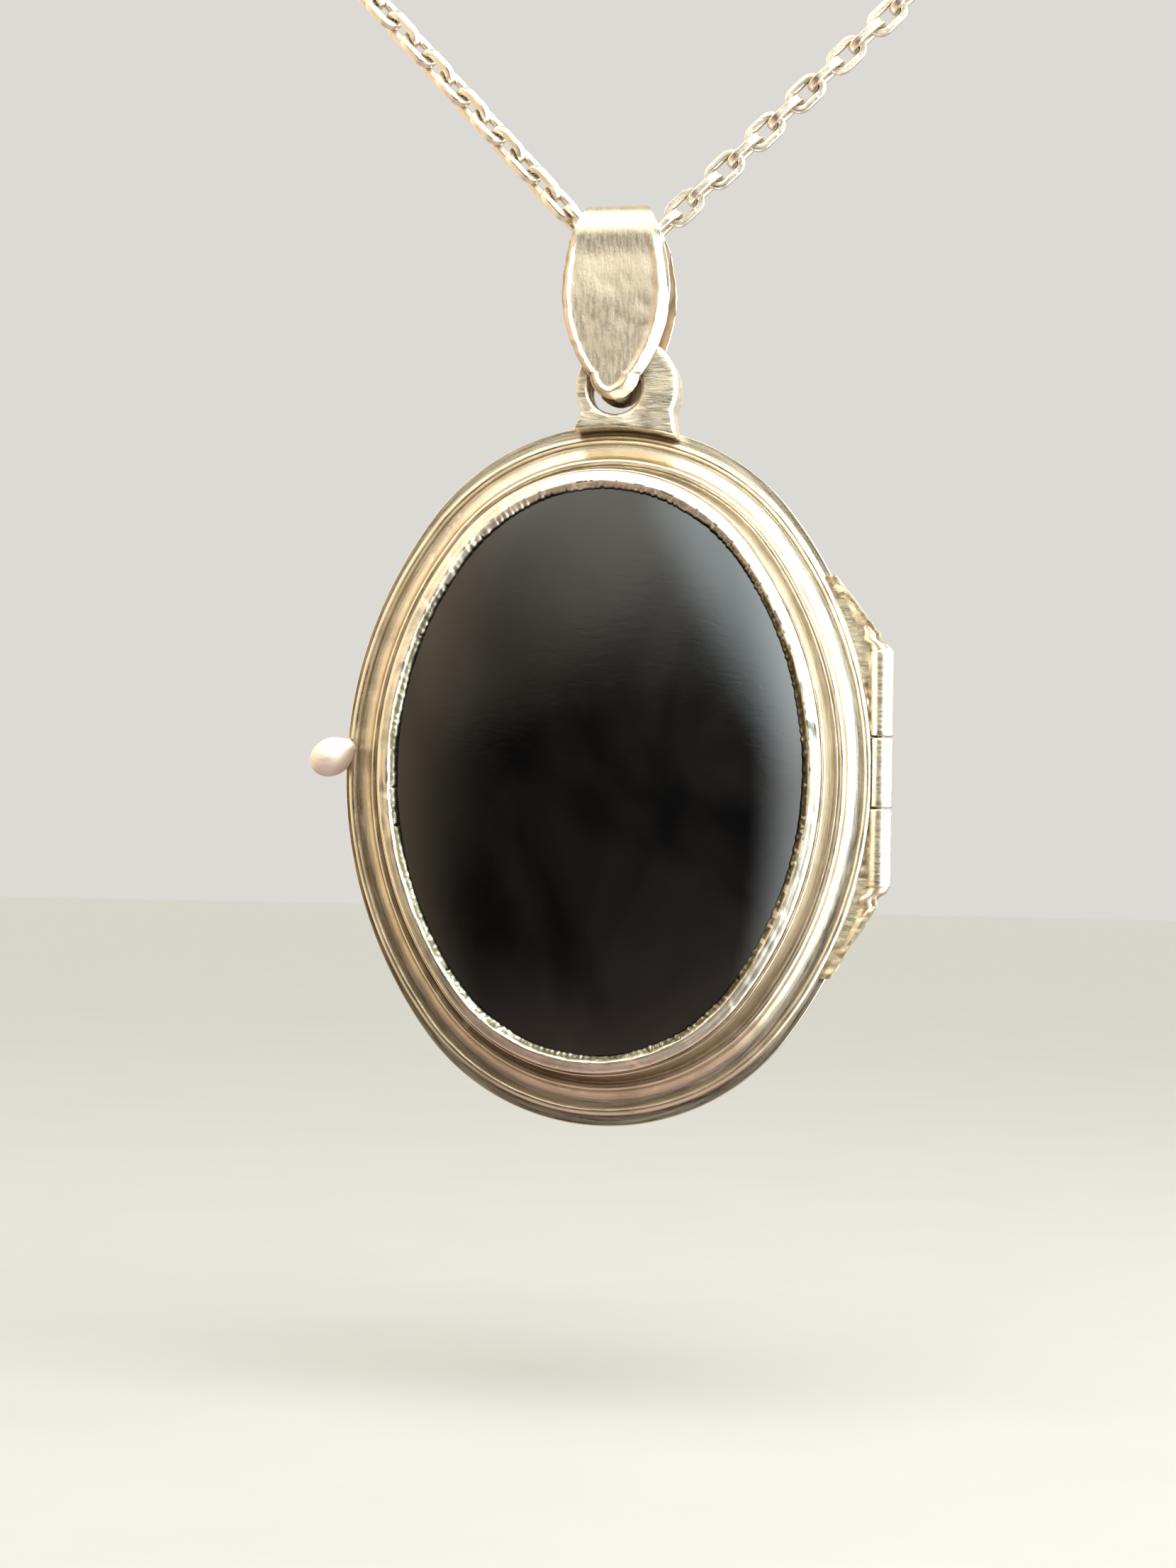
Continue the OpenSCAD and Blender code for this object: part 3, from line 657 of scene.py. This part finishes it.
def bail(material):
    """Leaf folded over the chain: dished faces, borders rolled back, and a tab through the lug."""
    mid_r = FOLD_R + LEAF_T / 2
    climb = LEAF_TIP_Y + 0.004 + (FOLD_Y - LEAF_TIP_Y) * np.linspace(0, 1, 110) ** 1.7
    climb[-1] = FOLD_Y
    path = [(-mid_r, y, (-1, 0)) for y in climb]
    for turn in np.radians(np.linspace(180, 0, 50))[1:-1]:
        c, s = math.cos(turn), math.sin(turn)
        path.append((mid_r * c, FOLD_Y + mid_r * s, (c, s)))
    path += [(mid_r, y, (1, 0)) for y in climb[::-1]]
    v = np.sin(np.linspace(-1, 1, 61) * math.pi / 2)
    rings, flow, along = [], [], 0.0
    count = len(path)
    worn_left = 0.03 * ripple(count, 71, 3, 40)
    worn_right = 0.035 * ripple(count, 72, 3, 50)
    for i, (depth, y, (nd, ny)) in enumerate(path):
        if i:
            along += math.dist(path[i - 1][:2], (depth, y))
        surface_y = y + ny * LEAF_T / 2
        half = max(leaf_half_width(min(surface_y, 30.0)), 0.1)
        front = smooth_step(FOLD_Y - y, -0.4, 1.2)
        curl_depth = 0.5 * front
        bevel = 0.425 + 0.125 * np.tanh(4 * v)
        from_edge = np.minimum(half * (1 - np.abs(v)), y - LEAF_TIP_Y)
        from_edge = np.minimum(from_edge, tip_distance(v * half, y))
        roll = curl_depth * np.clip(1 - from_edge / bevel, 0, 1) ** 1.7
        dish = 0.07 * front * smooth_step(from_edge, bevel * 0.8, bevel * 1.7)
        border = 0.02 * front * np.exp(-(((from_edge - bevel) / 0.14) ** 2))
        belly = 0.15 * smooth_step(surface_y, 24.5, 28.2) * smooth_step(29.8 - surface_y, 0, 1.6)
        outer = LEAF_T / 2 - roll - dish + border - belly - 0.02
        inner = 0.05 - LEAF_T / 2 - 0.42 * roll * smooth_step(FOLD_Y - y, 2.0, 4.5)
        inset = half - 0.05 + np.where(v > 0, worn_right[i], worn_left[i]) - 0.035
        x = v * np.maximum(inset, 0.05)
        loop_x = np.concatenate([x, [x[-1] + 0.04, x[-1] + 0.04], x[::-1], [x[0] - 0.04] * 2])
        loop_n = np.concatenate([
            outer, [outer[-1] * 0.7 + inner[-1] * 0.3, outer[-1] * 0.3 + inner[-1] * 0.7],
            inner[::-1], [outer[0] * 0.3 + inner[0] * 0.7, outer[0] * 0.7 + inner[0] * 0.3]])
        rings.append(np.stack([BAIL_X + loop_x, depth + nd * loop_n,
                               y + ny * loop_n - HANG_DROP], -1))
        flow.append(np.stack([np.full(len(loop_x), along), loop_n, loop_x], -1))
    rings = np.array(rings)
    outside = np.hypot(rings[..., 1], np.maximum(rings[..., 2] + HANG_DROP - FOLD_Y, 0))
    push = smooth_step(outside, 1.6, 1.8) * 0.009
    rings[..., 1] *= 1 - push * np.clip(grain(rings, 1.1, 73) * grain(rings, 2.4, 74), -0.2, 1)
    build = Build().loft(rings, flow, caps=True)
    # The tab through the lug's hole, in one loop per depth from the rear leaf to the front one.
    tab = []
    tab_r, top, bottom = 0.5, LUG_Y + LUG_HOLE_R - 0.06, LEAF_TIP_Y + 0.25
    a = np.radians(np.linspace(0, 360, 40, endpoint=False))
    for depth, shrink in ((-1.66, 0.25), (-1.6, 0.06), (-1.45, 0.0), (1.45, 0.0), (1.6, 0.06),
                          (1.66, 0.25)):
        r = tab_r - shrink
        y = np.where(np.sin(a) >= 0, top - tab_r, bottom + tab_r) + r * np.sin(a)
        tab.append(np.stack([BAIL_X + r * np.cos(a), np.full(len(a), depth), y - HANG_DROP], -1))
    build.loft(tab, caps=True)
    return build.piece("bail_leaf", "bail", ["bail"], "silver", material)


# ------------------------------------------------------------------ chain
def link_rings(seed):
    """One filed wire link with its length along z and its face in the x-z plane."""
    draw = np.random.default_rng(seed)
    path = []
    for first, end_z in ((0, LINK_HALF_STRAIGHT), (180, -LINK_HALF_STRAIGHT)):
        for a in np.radians(np.linspace(first, first + 180, 15)):
            path.append((LINK_ARC_R * math.cos(a), end_z + LINK_ARC_R * math.sin(a), a))
    dense = []
    n = len(path)
    for i in range(n):
        here, after = path[i], path[(i + 1) % n]
        steps = 5 if math.dist(here[:2], after[:2]) > 0.3 else 1
        turn = (after[2] - here[2]) % (2 * math.pi)
        for t in range(steps):
            f = t / steps
            dense.append((here[0] + (after[0] - here[0]) * f, here[1] + (after[1] - here[1]) * f,
                          here[2] + turn * f))
    section = np.linspace(0, 2 * math.pi, 20, endpoint=False)
    cut = draw.uniform(0.72, 0.86)
    rings, flow = [], []
    for k, (x, z, a) in enumerate(dense):
        c, s = np.cos(section), np.sin(section)
        # Outwards across the link's plane, and sideways out of it, with four filed flats.
        out = np.clip(c, -1, cut) * WIRE_D / 2
        side = np.clip(s, -cut - 0.06, cut + 0.06) * WIRE_D / 2
        rings.append(np.stack([x + out * math.cos(a), side, z + out * math.sin(a)], -1))
        flow.append(np.stack([np.full(len(section), k * 0.13), out, side], -1))
    return np.array(rings), np.array(flow)


def turn_y(points, degrees):
    a = math.radians(degrees)
    return points @ np.array([[math.cos(a), 0, -math.sin(a)], [0, 1, 0],
                              [math.sin(a), 0, math.cos(a)]])


def turn_z(points, degrees):
    a = math.radians(degrees)
    return points @ np.array([[math.cos(a), math.sin(a), 0], [-math.sin(a), math.cos(a), 0],
                              [0, 0, 1]])


def strand_line(lean):
    """Where a strand starts and which way it runs; it leans left if lean is negative."""
    a = math.radians(lean)
    side = math.copysign(1, lean)
    start = np.array([VEE_X + side * HALF_SPAN, 0, VEE_Z + HALF_SPAN / math.tan(abs(a))])
    return start, np.array([math.sin(a), 0, math.cos(a)])


def strand(name, node, lean, count, twist, seed, material):
    start, direction = strand_line(lean)
    build = Build()
    for i in range(count):
        rings, flow = link_rings(seed + i)
        rings = turn_z(rings, min(twist, (i + 1) * twist / 3) + 90 * (i % 2))
        rings = turn_y(rings, lean) + start + (i + 0.5) * LINK_PITCH * direction
        build.loft(rings, flow + [7.0 * i, 0, 0], wrap=True)
    return build.piece(name, "necklace", [node], "chain_silver", material, sharp=24)


def centre_link(material):
    left, right = (start + HOOK * direction
                   for start, direction in (strand_line(-LEFT_LEAN), strand_line(RIGHT_LEAN)))
    span = right - left
    rings, flow = link_rings(990)
    rings = turn_y(turn_z(rings, 90), 90 - math.degrees(math.atan2(span[2], span[0])))
    build = Build().loft(rings + (left + right) / 2, flow, wrap=True)
    return build.piece("chain_middle_link", "necklace", ["chain_centre"], "chain_silver",
                       material, sharp=24)


# ------------------------------------------------------------------ materials
class Tree:
    """Shorthand for building a material's nodes."""

    def __init__(self, name):
        self.material = bpy.data.materials.new(name)
        self.material.use_nodes = True
        self.nodes = self.material.node_tree.nodes
        self.links = self.material.node_tree.links
        self.shader = self.nodes["Principled BSDF"]

    def add(self, kind, inputs=None, **properties):
        node = self.nodes.new(kind)
        for key, value in properties.items():
            setattr(node, key, value)
        for key, value in (inputs or {}).items():
            self.put(node.inputs[key], value)
        return node

    def put(self, socket, value):
        if isinstance(value, bpy.types.NodeSocket):
            self.links.new(value, socket)
        else:
            socket.default_value = value

    def math(self, operation, a, b=0.0, clamp=False):
        node = self.add("ShaderNodeMath", operation=operation, use_clamp=clamp)
        self.put(node.inputs[0], a)
        self.put(node.inputs[1], b)
        return node.outputs[0]

    def remap(self, value, low, high, to_low=0.0, to_high=1.0):
        node = self.add("ShaderNodeMapRange", {"Value": value, "From Min": low, "From Max": high,
                                               "To Min": to_low, "To Max": to_high},
                        interpolation_type="SMOOTHSTEP")
        return node.outputs[0]

    def mix(self, factor, a, b):
        node = self.add("ShaderNodeMix", data_type="RGBA")
        self.put(node.inputs[0], factor)
        self.put(node.inputs[6], a if isinstance(a, bpy.types.NodeSocket) else (*a, 1))
        self.put(node.inputs[7], b if isinstance(b, bpy.types.NodeSocket) else (*b, 1))
        return node.outputs[2]

    def space(self, scale):
        """Place in the row frame in millimetres, scaled."""
        place = self.add("ShaderNodeTexCoord").outputs["Object"]
        return self.scaled(place, [1000 * s for s in scale])

    def flow(self, scale):
        place = self.add("ShaderNodeAttribute", attribute_name="flow").outputs["Vector"]
        return self.scaled(place, scale)

    def scaled(self, vector, scale):
        return self.add("ShaderNodeMapping", {"Vector": vector, "Scale": scale}).outputs[0]

    def noise(self, vector, scale=1.0, detail=3.0, roughness=0.55, distortion=0.0):
        node = self.add("ShaderNodeTexNoise", {"Vector": vector, "Scale": scale,
                                               "Detail": detail, "Roughness": roughness,
                                               "Distortion": distortion})
        return node.outputs[0]

    def bump(self, height, strength, distance_mm, normal=None):
        node = self.add("ShaderNodeBump", {"Height": height, "Strength": strength,
                                           "Distance": distance_mm * MM})
        if normal is not None:
            self.put(node.inputs["Normal"], normal)
        return node.outputs[0]


def silver(name, bright, tarnish_and_shade, rough, along=(0.3, 0.3, 7.0), flowing=True, hollow_tarnish_and_shade=1.0,
           brushed=1.0, pitted=1.0):
    """Worn metal: brushed along the piece, dark with tarnish and painted shade in the recesses,
    rubbed bright on its edges.
    """
    t = Tree(name)
    lines_at = t.flow(along) if flowing else t.space((1.2, 1.2, 5.0))
    streaks = t.noise(lines_at, 1.0, 4.0, 0.65)
    fine_at = t.flow([a * 3 for a in along]) if flowing else t.space((3, 3, 14))
    fine = t.noise(fine_at, 1.0, 2.0)
    clouds = t.noise(t.space((0.35, 0.35, 0.35)), 1.0, 4.0, 0.6, 0.4)
    specks = t.noise(t.space((5, 5, 5)), 1.0, 3.0, 0.6)
    # Painted shade with tarnish: ambient occlusion darkens the colour towards the dark tone in
    # recesses and where parts meet.
    shade = t.add("ShaderNodeAmbientOcclusion", {"Distance": 0.9 * MM}, samples=4)
    recess_tarnish_and_shade = t.remap(shade.outputs["AO"], 0.3, 0.88, hollow_tarnish_and_shade, 0.0)
    edge = t.add("ShaderNodeNewGeometry").outputs["Pointiness"]
    worn = t.remap(edge, 0.505, 0.56)
    dull = t.math("MULTIPLY", t.remap(clouds, 0.42, 0.68), 0.34)
    dull = t.math("ADD", dull, t.math("MULTIPLY", t.remap(streaks, 0.5, 0.75), 0.2))
    # The painted shade of the recesses joins the random dull patches here.
    dull = t.math("ADD", dull, recess_tarnish_and_shade)
    # Each piece's own darkening, painted on chosen places of its mesh.
    piece_dull = t.add("ShaderNodeAttribute", attribute_name="dull").outputs["Fac"]
    dull = t.math("ADD", dull, piece_dull, clamp=True)
    dull = t.math("SUBTRACT", dull, t.math("MULTIPLY", worn, 0.55), clamp=True)
    t.put(t.shader.inputs["Base Color"], t.mix(dull, bright, tarnish_and_shade))
    t.shader.inputs["Metallic"].default_value = 1.0
    roughness = t.math("ADD", t.remap(streaks, 0.3, 0.75, rough - 0.05, rough + 0.12),
                       t.math("MULTIPLY", dull, 0.14))
    t.put(t.shader.inputs["Roughness"], roughness)
    normal = t.bump(streaks, 0.5 * brushed, 0.03)
    normal = t.bump(fine, 0.35 * brushed, 0.012, normal)
    normal = t.bump(specks, 0.3 * pitted, 0.02, normal)
    t.put(t.shader.inputs["Normal"], normal)
    return t.material


def onyx():
    """Black stone with a polished, faintly rubbed face."""
    t = Tree("black_onyx")
    veil = t.noise(t.space((0.18, 0.18, 0.12)), 1.0, 3.0, 0.5, 0.6)
    t.put(t.shader.inputs["Base Color"], t.mix(t.remap(veil, 0.35, 0.75),
                                              (0.0016, 0.0015, 0.0016), (0.006, 0.0052, 0.0046)))
    haze = t.noise(t.space((0.5, 0.5, 0.5)), 1.0, 4.0, 0.6)
    scuffs = t.noise(t.space((1.2, 1.2, 9)), 1.0, 3.0, 0.7, 1.2)
    rough = t.math("ADD", t.remap(haze, 0.4, 0.75, 0.05, 0.13), t.remap(scuffs, 0.6, 0.8, 0, 0.1))
    t.put(t.shader.inputs["Roughness"], rough)
    t.shader.inputs["IOR"].default_value = 1.54
    ripples = t.noise(t.space((0.9, 0.9, 2.2)), 1.0, 2.0, 0.5, 0.8)
    t.put(t.shader.inputs["Normal"], t.bump(ripples, 0.25, 0.012))
    return t.material


def window_glass():
    t = Tree("clear_window")
    smear = t.noise(t.space((0.25, 0.25, 0.25)), 1.0, 4.0, 0.6, 0.8)
    t.put(t.shader.inputs["Roughness"], t.remap(smear, 0.4, 0.7, 0.03, 0.16))
    t.put(t.shader.inputs["Base Color"], t.mix(smear, (0.96, 0.96, 0.95), (0.89, 0.88, 0.86)))
    t.shader.inputs["IOR"].default_value = 1.47
    t.shader.inputs["Transmission Weight"].default_value = 1.0
    return t.material


def card():
    """Blank, slightly foxed card."""
    t = Tree("blank_card")
    fibres = t.noise(t.space((3, 3, 6)), 1.0, 5.0, 0.7, 0.6)
    foxing = t.noise(t.space((0.3, 0.3, 0.3)), 1.0, 4.0, 0.6)
    tone = t.mix(t.remap(foxing, 0.5, 0.75), (0.6, 0.52, 0.4), (0.46, 0.36, 0.24))
    t.put(t.shader.inputs["Base Color"], t.mix(t.remap(fibres, 0.3, 0.7, 0, 0.3), tone,
                                              (0.72, 0.66, 0.55)))
    t.put(t.shader.inputs["Roughness"], t.remap(fibres, 0.3, 0.7, 0.75, 0.95))
    t.put(t.shader.inputs["Normal"], t.bump(fibres, 0.5, 0.03))
    return t.material


def paint_nodes(frame, materials):
    """Gives each CAD node that stays on show its material."""
    for node, material in materials.items():
        mesh = frame["nodes"][node].data
        mesh.materials.clear()
        mesh.materials.append(material)


# ------------------------------------------------------------------ stage
def floor(z):
    half_size, rows = 3000.0, 24
    steps = np.linspace(-half_size, half_size, rows)
    points = [(x, y, z) for y in steps for x in steps]
    mesh = bpy.data.meshes.new("studio_floor")
    mesh.from_pydata((np.array(points) * MM).tolist(), [], grid_faces(rows, rows, False, False))
    obj = new_object("studio_floor", mesh)
    t = Tree("pale_floor")
    speckle = t.noise(t.space((0.08, 0.08, 0.08)), 1.0, 4.0)
    t.put(t.shader.inputs["Base Color"], t.mix(speckle, (0.27, 0.263, 0.253), (0.29, 0.282, 0.271)))
    t.shader.inputs["Roughness"].default_value = 0.9
    mesh.materials.append(t.material)
    obj.visible_glossy = False


def area_light(name, place, aim, size, power, colour):
    data = bpy.data.lights.new(name, "AREA")
    data.shape, data.size, data.size_y = "RECTANGLE", size[0] * MM, size[1] * MM
    data.energy, data.color = power, colour
    obj = new_object(name, data)
    obj.location = Vector(place) * MM
    obj.visible_glossy = False
    direction = (Vector(aim) - Vector(place)).normalized()
    obj.rotation_mode = "QUATERNION"
    obj.rotation_quaternion = direction.to_track_quat("-Z", "Y")


def room():
    """Soft room seen in the metal: a window on the right, a pale ceiling, a warm left side,
    brown below and a dark middle in front; plain and pale where the camera sees it directly."""
    world = bpy.data.worlds.new("studio")
    bpy.context.scene.world = world
    world.use_nodes = True
    tree = world.node_tree
    tree.nodes.clear()

    def new(kind, **properties):
        node = tree.nodes.new(kind)
        for key, value in properties.items():
            setattr(node, key, value)
        return node

    place = new("ShaderNodeTexCoord").outputs["Generated"]
    total = None
    for towards, edge, core, colour in GLOWS:
        along = new("ShaderNodeVectorMath", operation="DOT_PRODUCT")
        tree.links.new(place, along.inputs[0])
        along.inputs[1].default_value = Vector(towards).normalized()
        fade = new("ShaderNodeMapRange", interpolation_type="SMOOTHSTEP")
        tree.links.new(along.outputs["Value"], fade.inputs["Value"])
        fade.inputs["From Min"].default_value = math.cos(math.radians(edge))
        fade.inputs["From Max"].default_value = math.cos(math.radians(core))
        glow = new("ShaderNodeVectorMath", operation="SCALE")
        glow.inputs[0].default_value = colour
        tree.links.new(fade.outputs[0], glow.inputs["Scale"])
        if total is None:
            total = glow.outputs[0]
        else:
            both = new("ShaderNodeVectorMath", operation="ADD")
            tree.links.new(total, both.inputs[0])
            tree.links.new(glow.outputs[0], both.inputs[1])
            total = both.outputs[0]
    path = new("ShaderNodeLightPath")
    seen = new("ShaderNodeMix", data_type="RGBA")
    tree.links.new(path.outputs["Is Camera Ray"], seen.inputs[0])
    tree.links.new(total, seen.inputs[6])
    seen.inputs[7].default_value = (*BACKDROP, 1)
    background = new("ShaderNodeBackground")
    tree.links.new(seen.outputs[2], background.inputs["Color"])
    output = new("ShaderNodeOutputWorld")
    tree.links.new(background.outputs[0], output.inputs[0])


# Each glow: its direction, how many degrees off it the glow starts and is full, and its colour.
GLOWS = [
    ((0.97, -0.22, 0.1), 56, 24, (4.6, 4.8, 4.7)),  # window
    ((0.56, -0.62, 0.55), 35, 12, (3.3, 3.9, 4.0)),  # its glare on the stone's upper right
    ((0.05, -0.5, 0.86), 53, 14, (2.1, 2.1, 1.9)),  # pale ceiling in front
    ((-0.42, -0.64, 0.64), 38, 27, (0.6, 0.5, 0.38)),  # brown wall up on the left
    ((0, 0.5, 0.86), 80, 30, (0.4, 0.39, 0.35)),  # ceiling behind
    ((-1.0, 0.0, 0.2), 64, 20, (1.25, 0.98, 0.64)),  # warm left side
    ((0, 1, 0.1), 75, 30, (0.55, 0.5, 0.42)),  # behind
    ((0.05, -0.2, -1.0), 68, 25, (0.68, 0.5, 0.43)),  # brown below
]
BACKDROP = (0.72, 0.7, 0.67)


def camera():
    data = bpy.data.cameras.new("main_camera")
    data.lens, data.sensor_height, data.sensor_width = CAMERA_LENS, CAMERA_SENSOR, CAMERA_SENSOR
    data.sensor_fit = "VERTICAL"
    data.clip_start, data.clip_end = 0.001, 20.0
    obj = new_object("main_camera", data)
    a, e = math.radians(CAMERA_AZIMUTH), math.radians(CAMERA_ELEVATION)
    back = Vector((math.sin(a) * math.cos(e), -math.cos(a) * math.cos(e), math.sin(e)))
    level = (-back).to_track_quat("-Z", "Y").to_matrix()
    turn = level @ Matrix.Rotation(math.radians(CAMERA_ROLL), 3, "Z")
    right, up = turn.col[0], turn.col[1]
    middle = Vector((0, CASE_MID_Y, -HANG_DROP))
    target = middle - right * AIM_LEFT - up * AIM_DOWN
    obj.location = (target + back * CAMERA_DISTANCE) * MM
    obj.rotation_mode = "QUATERNION"
    obj.rotation_quaternion = turn.to_quaternion()
    bpy.context.scene.camera = obj
    bpy.context.scene.view_settings.view_transform = "Standard"


# ------------------------------------------------------------------ everything
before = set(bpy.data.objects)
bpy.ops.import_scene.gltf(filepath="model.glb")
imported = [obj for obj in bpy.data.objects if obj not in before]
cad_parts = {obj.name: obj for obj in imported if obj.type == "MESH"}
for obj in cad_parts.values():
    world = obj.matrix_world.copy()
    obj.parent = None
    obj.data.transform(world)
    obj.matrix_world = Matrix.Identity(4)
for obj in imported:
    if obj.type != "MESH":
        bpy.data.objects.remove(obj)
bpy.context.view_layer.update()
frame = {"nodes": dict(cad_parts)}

camera()
floor(-HANG_DROP - FLOOR_DROP)
room()
area_light("window", (210, -60, -20), (0, 0, -40), (220, 260), 1.2, (1.0, 0.98, 0.95))
area_light("ceiling", (40, -120, 170), (0, 0, -35), (200, 160), 0.6, (0.93, 0.97, 1.0))

# The dark tone stands for tarnish and also for the painted shade in recesses.
SILVER_TONE, TARNISH_AND_SHADE_TONE = (0.84, 0.755, 0.61), (0.38, 0.285, 0.19)
rim_silver = silver("rim_silver", SILVER_TONE, TARNISH_AND_SHADE_TONE, 0.28)
collar_silver = silver("collar_silver", (0.93, 0.87, 0.74), (0.1, 0.084, 0.045), 0.3, hollow_tarnish_and_shade=0.3,
                       brushed=0.7)
shell_silver = silver("shell_silver", SILVER_TONE, TARNISH_AND_SHADE_TONE, 0.28, along=(0.25, 0.25, 5.0))
bail_silver = silver("bail_silver", (0.73, 0.645, 0.525), TARNISH_AND_SHADE_TONE, 0.34,
                     along=(1.2, 2.0, 6.0), hollow_tarnish_and_shade=0.7)
plain_silver = silver("plain_silver", SILVER_TONE, TARNISH_AND_SHADE_TONE, 0.33, flowing=False, hollow_tarnish_and_shade=0.5)
bright_silver = silver("bright_silver", (0.96, 0.9, 0.8), (0.5, 0.4, 0.28), 0.3,
                       along=(2.0, 6.0, 6.0), hollow_tarnish_and_shade=0.8, brushed=0.6)
bead_silver = silver("bead_silver", (0.9, 0.83, 0.78), (0.75, 0.65, 0.56), 0.62, flowing=False,
                     hollow_tarnish_and_shade=0.5, brushed=0.2, pitted=0.5)
solder_silver = silver("solder_silver", (0.82, 0.72, 0.54), (0.2, 0.14, 0.085), 0.38,
                       flowing=False, pitted=2.0)
pin_silver = silver("pin_silver", (0.75, 0.67, 0.53), TARNISH_AND_SHADE_TONE, 0.35, flowing=False)
clasp_silver = silver("clasp_silver", (0.92, 0.84, 0.72), (0.4, 0.31, 0.21), 0.25, flowing=False)
spring_steel = silver("spring_steel", (0.6, 0.6, 0.59), (0.25, 0.23, 0.2), 0.3, flowing=False)
gilt = silver("worn_gilt", (0.88, 0.62, 0.29), (0.36, 0.22, 0.08), 0.3)
black_stone, glass, blank_card = onyx(), window_glass(), card()

lid_moulding(rim_silver)
bezel_ring(collar_silver)
stone(black_stone)
back_cover(shell_silver)
snap_rim(rim_silver)
hinge_web("lid_hinge_web", "lid", "lid_hinge_bearer", LID, PARTING_GAP + WEB_GAP,
          [(HINGE_UPPER + KNUCKLE_GAP, BEARER_Y), (-BEARER_Y, HINGE_LOWER - KNUCKLE_GAP)], 81,
          solder_silver)
hinge_web("back_hinge_web", "case", "back_hinge_bearer", BACK, -BEARER_T - WEB_GAP,
          [(HINGE_TOP + KNUCKLE_GAP, BEARER_Y),
           (HINGE_LOWER + KNUCKLE_GAP, HINGE_UPPER - KNUCKLE_GAP),
           (-BEARER_Y, HINGE_BOTTOM - KNUCKLE_GAP)], 84, solder_silver)
knuckle("knuckle_upper", "lid", "hinge_knuckle_top", HINGE_UPPER + KNUCKLE_GAP, HINGE_TOP,
        plain_silver)
knuckle("knuckle_centre", "case", "hinge_knuckle_middle", HINGE_LOWER + KNUCKLE_GAP,
        HINGE_UPPER - KNUCKLE_GAP, plain_silver)
knuckle("knuckle_lower", "lid", "hinge_knuckle_bottom", HINGE_BOTTOM, HINGE_LOWER - KNUCKLE_GAP,
        plain_silver)
hinge_pin(pin_silver)
thumb_ball(bead_silver)
lug_plate("lug_rear_half", "lug_back_plate", CASE_MID_Y, CASE_MID_Y - LUG_HALF_T, 91, plain_silver)
lug_plate("lug_front_half", "lug_front_plate", CASE_MID_Y, CASE_MID_Y + LUG_HALF_T, 94,
          plain_silver)
bail(bail_silver)
strand("chain_left_links", "chain_left", -LEFT_LEAN, LEFT_LINKS, LEFT_TWIST, 900, bright_silver)
strand("chain_right_links", "chain_right", RIGHT_LEAN, RIGHT_LINKS, 0.0, 950, bright_silver)
centre_link(bright_silver)
photo_frame("lid_frame", "lid", "lid_photo_frame", gilt, 1)
photo_frame("back_frame", "case", "back_photo_frame", gilt, -1)
plate("lid_window_plate", "lid", "lid_window", "window_glass", glass, WINDOW)
plate("lid_card_blank", "lid", "lid_photo_card", "photo_card", blank_card, CARD)
plate("back_window_plate", "case", "back_window", "window_glass", glass, WINDOW, -1)
plate("back_card_blank", "case", "back_photo_card", "photo_card", blank_card, CARD, -1)
plate("lid_floor_plate", "lid", "lid_base_plate", "silver", plain_silver, BASE_PLATE)
paint_nodes(frame, {"jump_rings": clasp_silver, "clasp_ring": clasp_silver,
                    "clasp_trigger": clasp_silver, "clasp_spring": spring_steel})
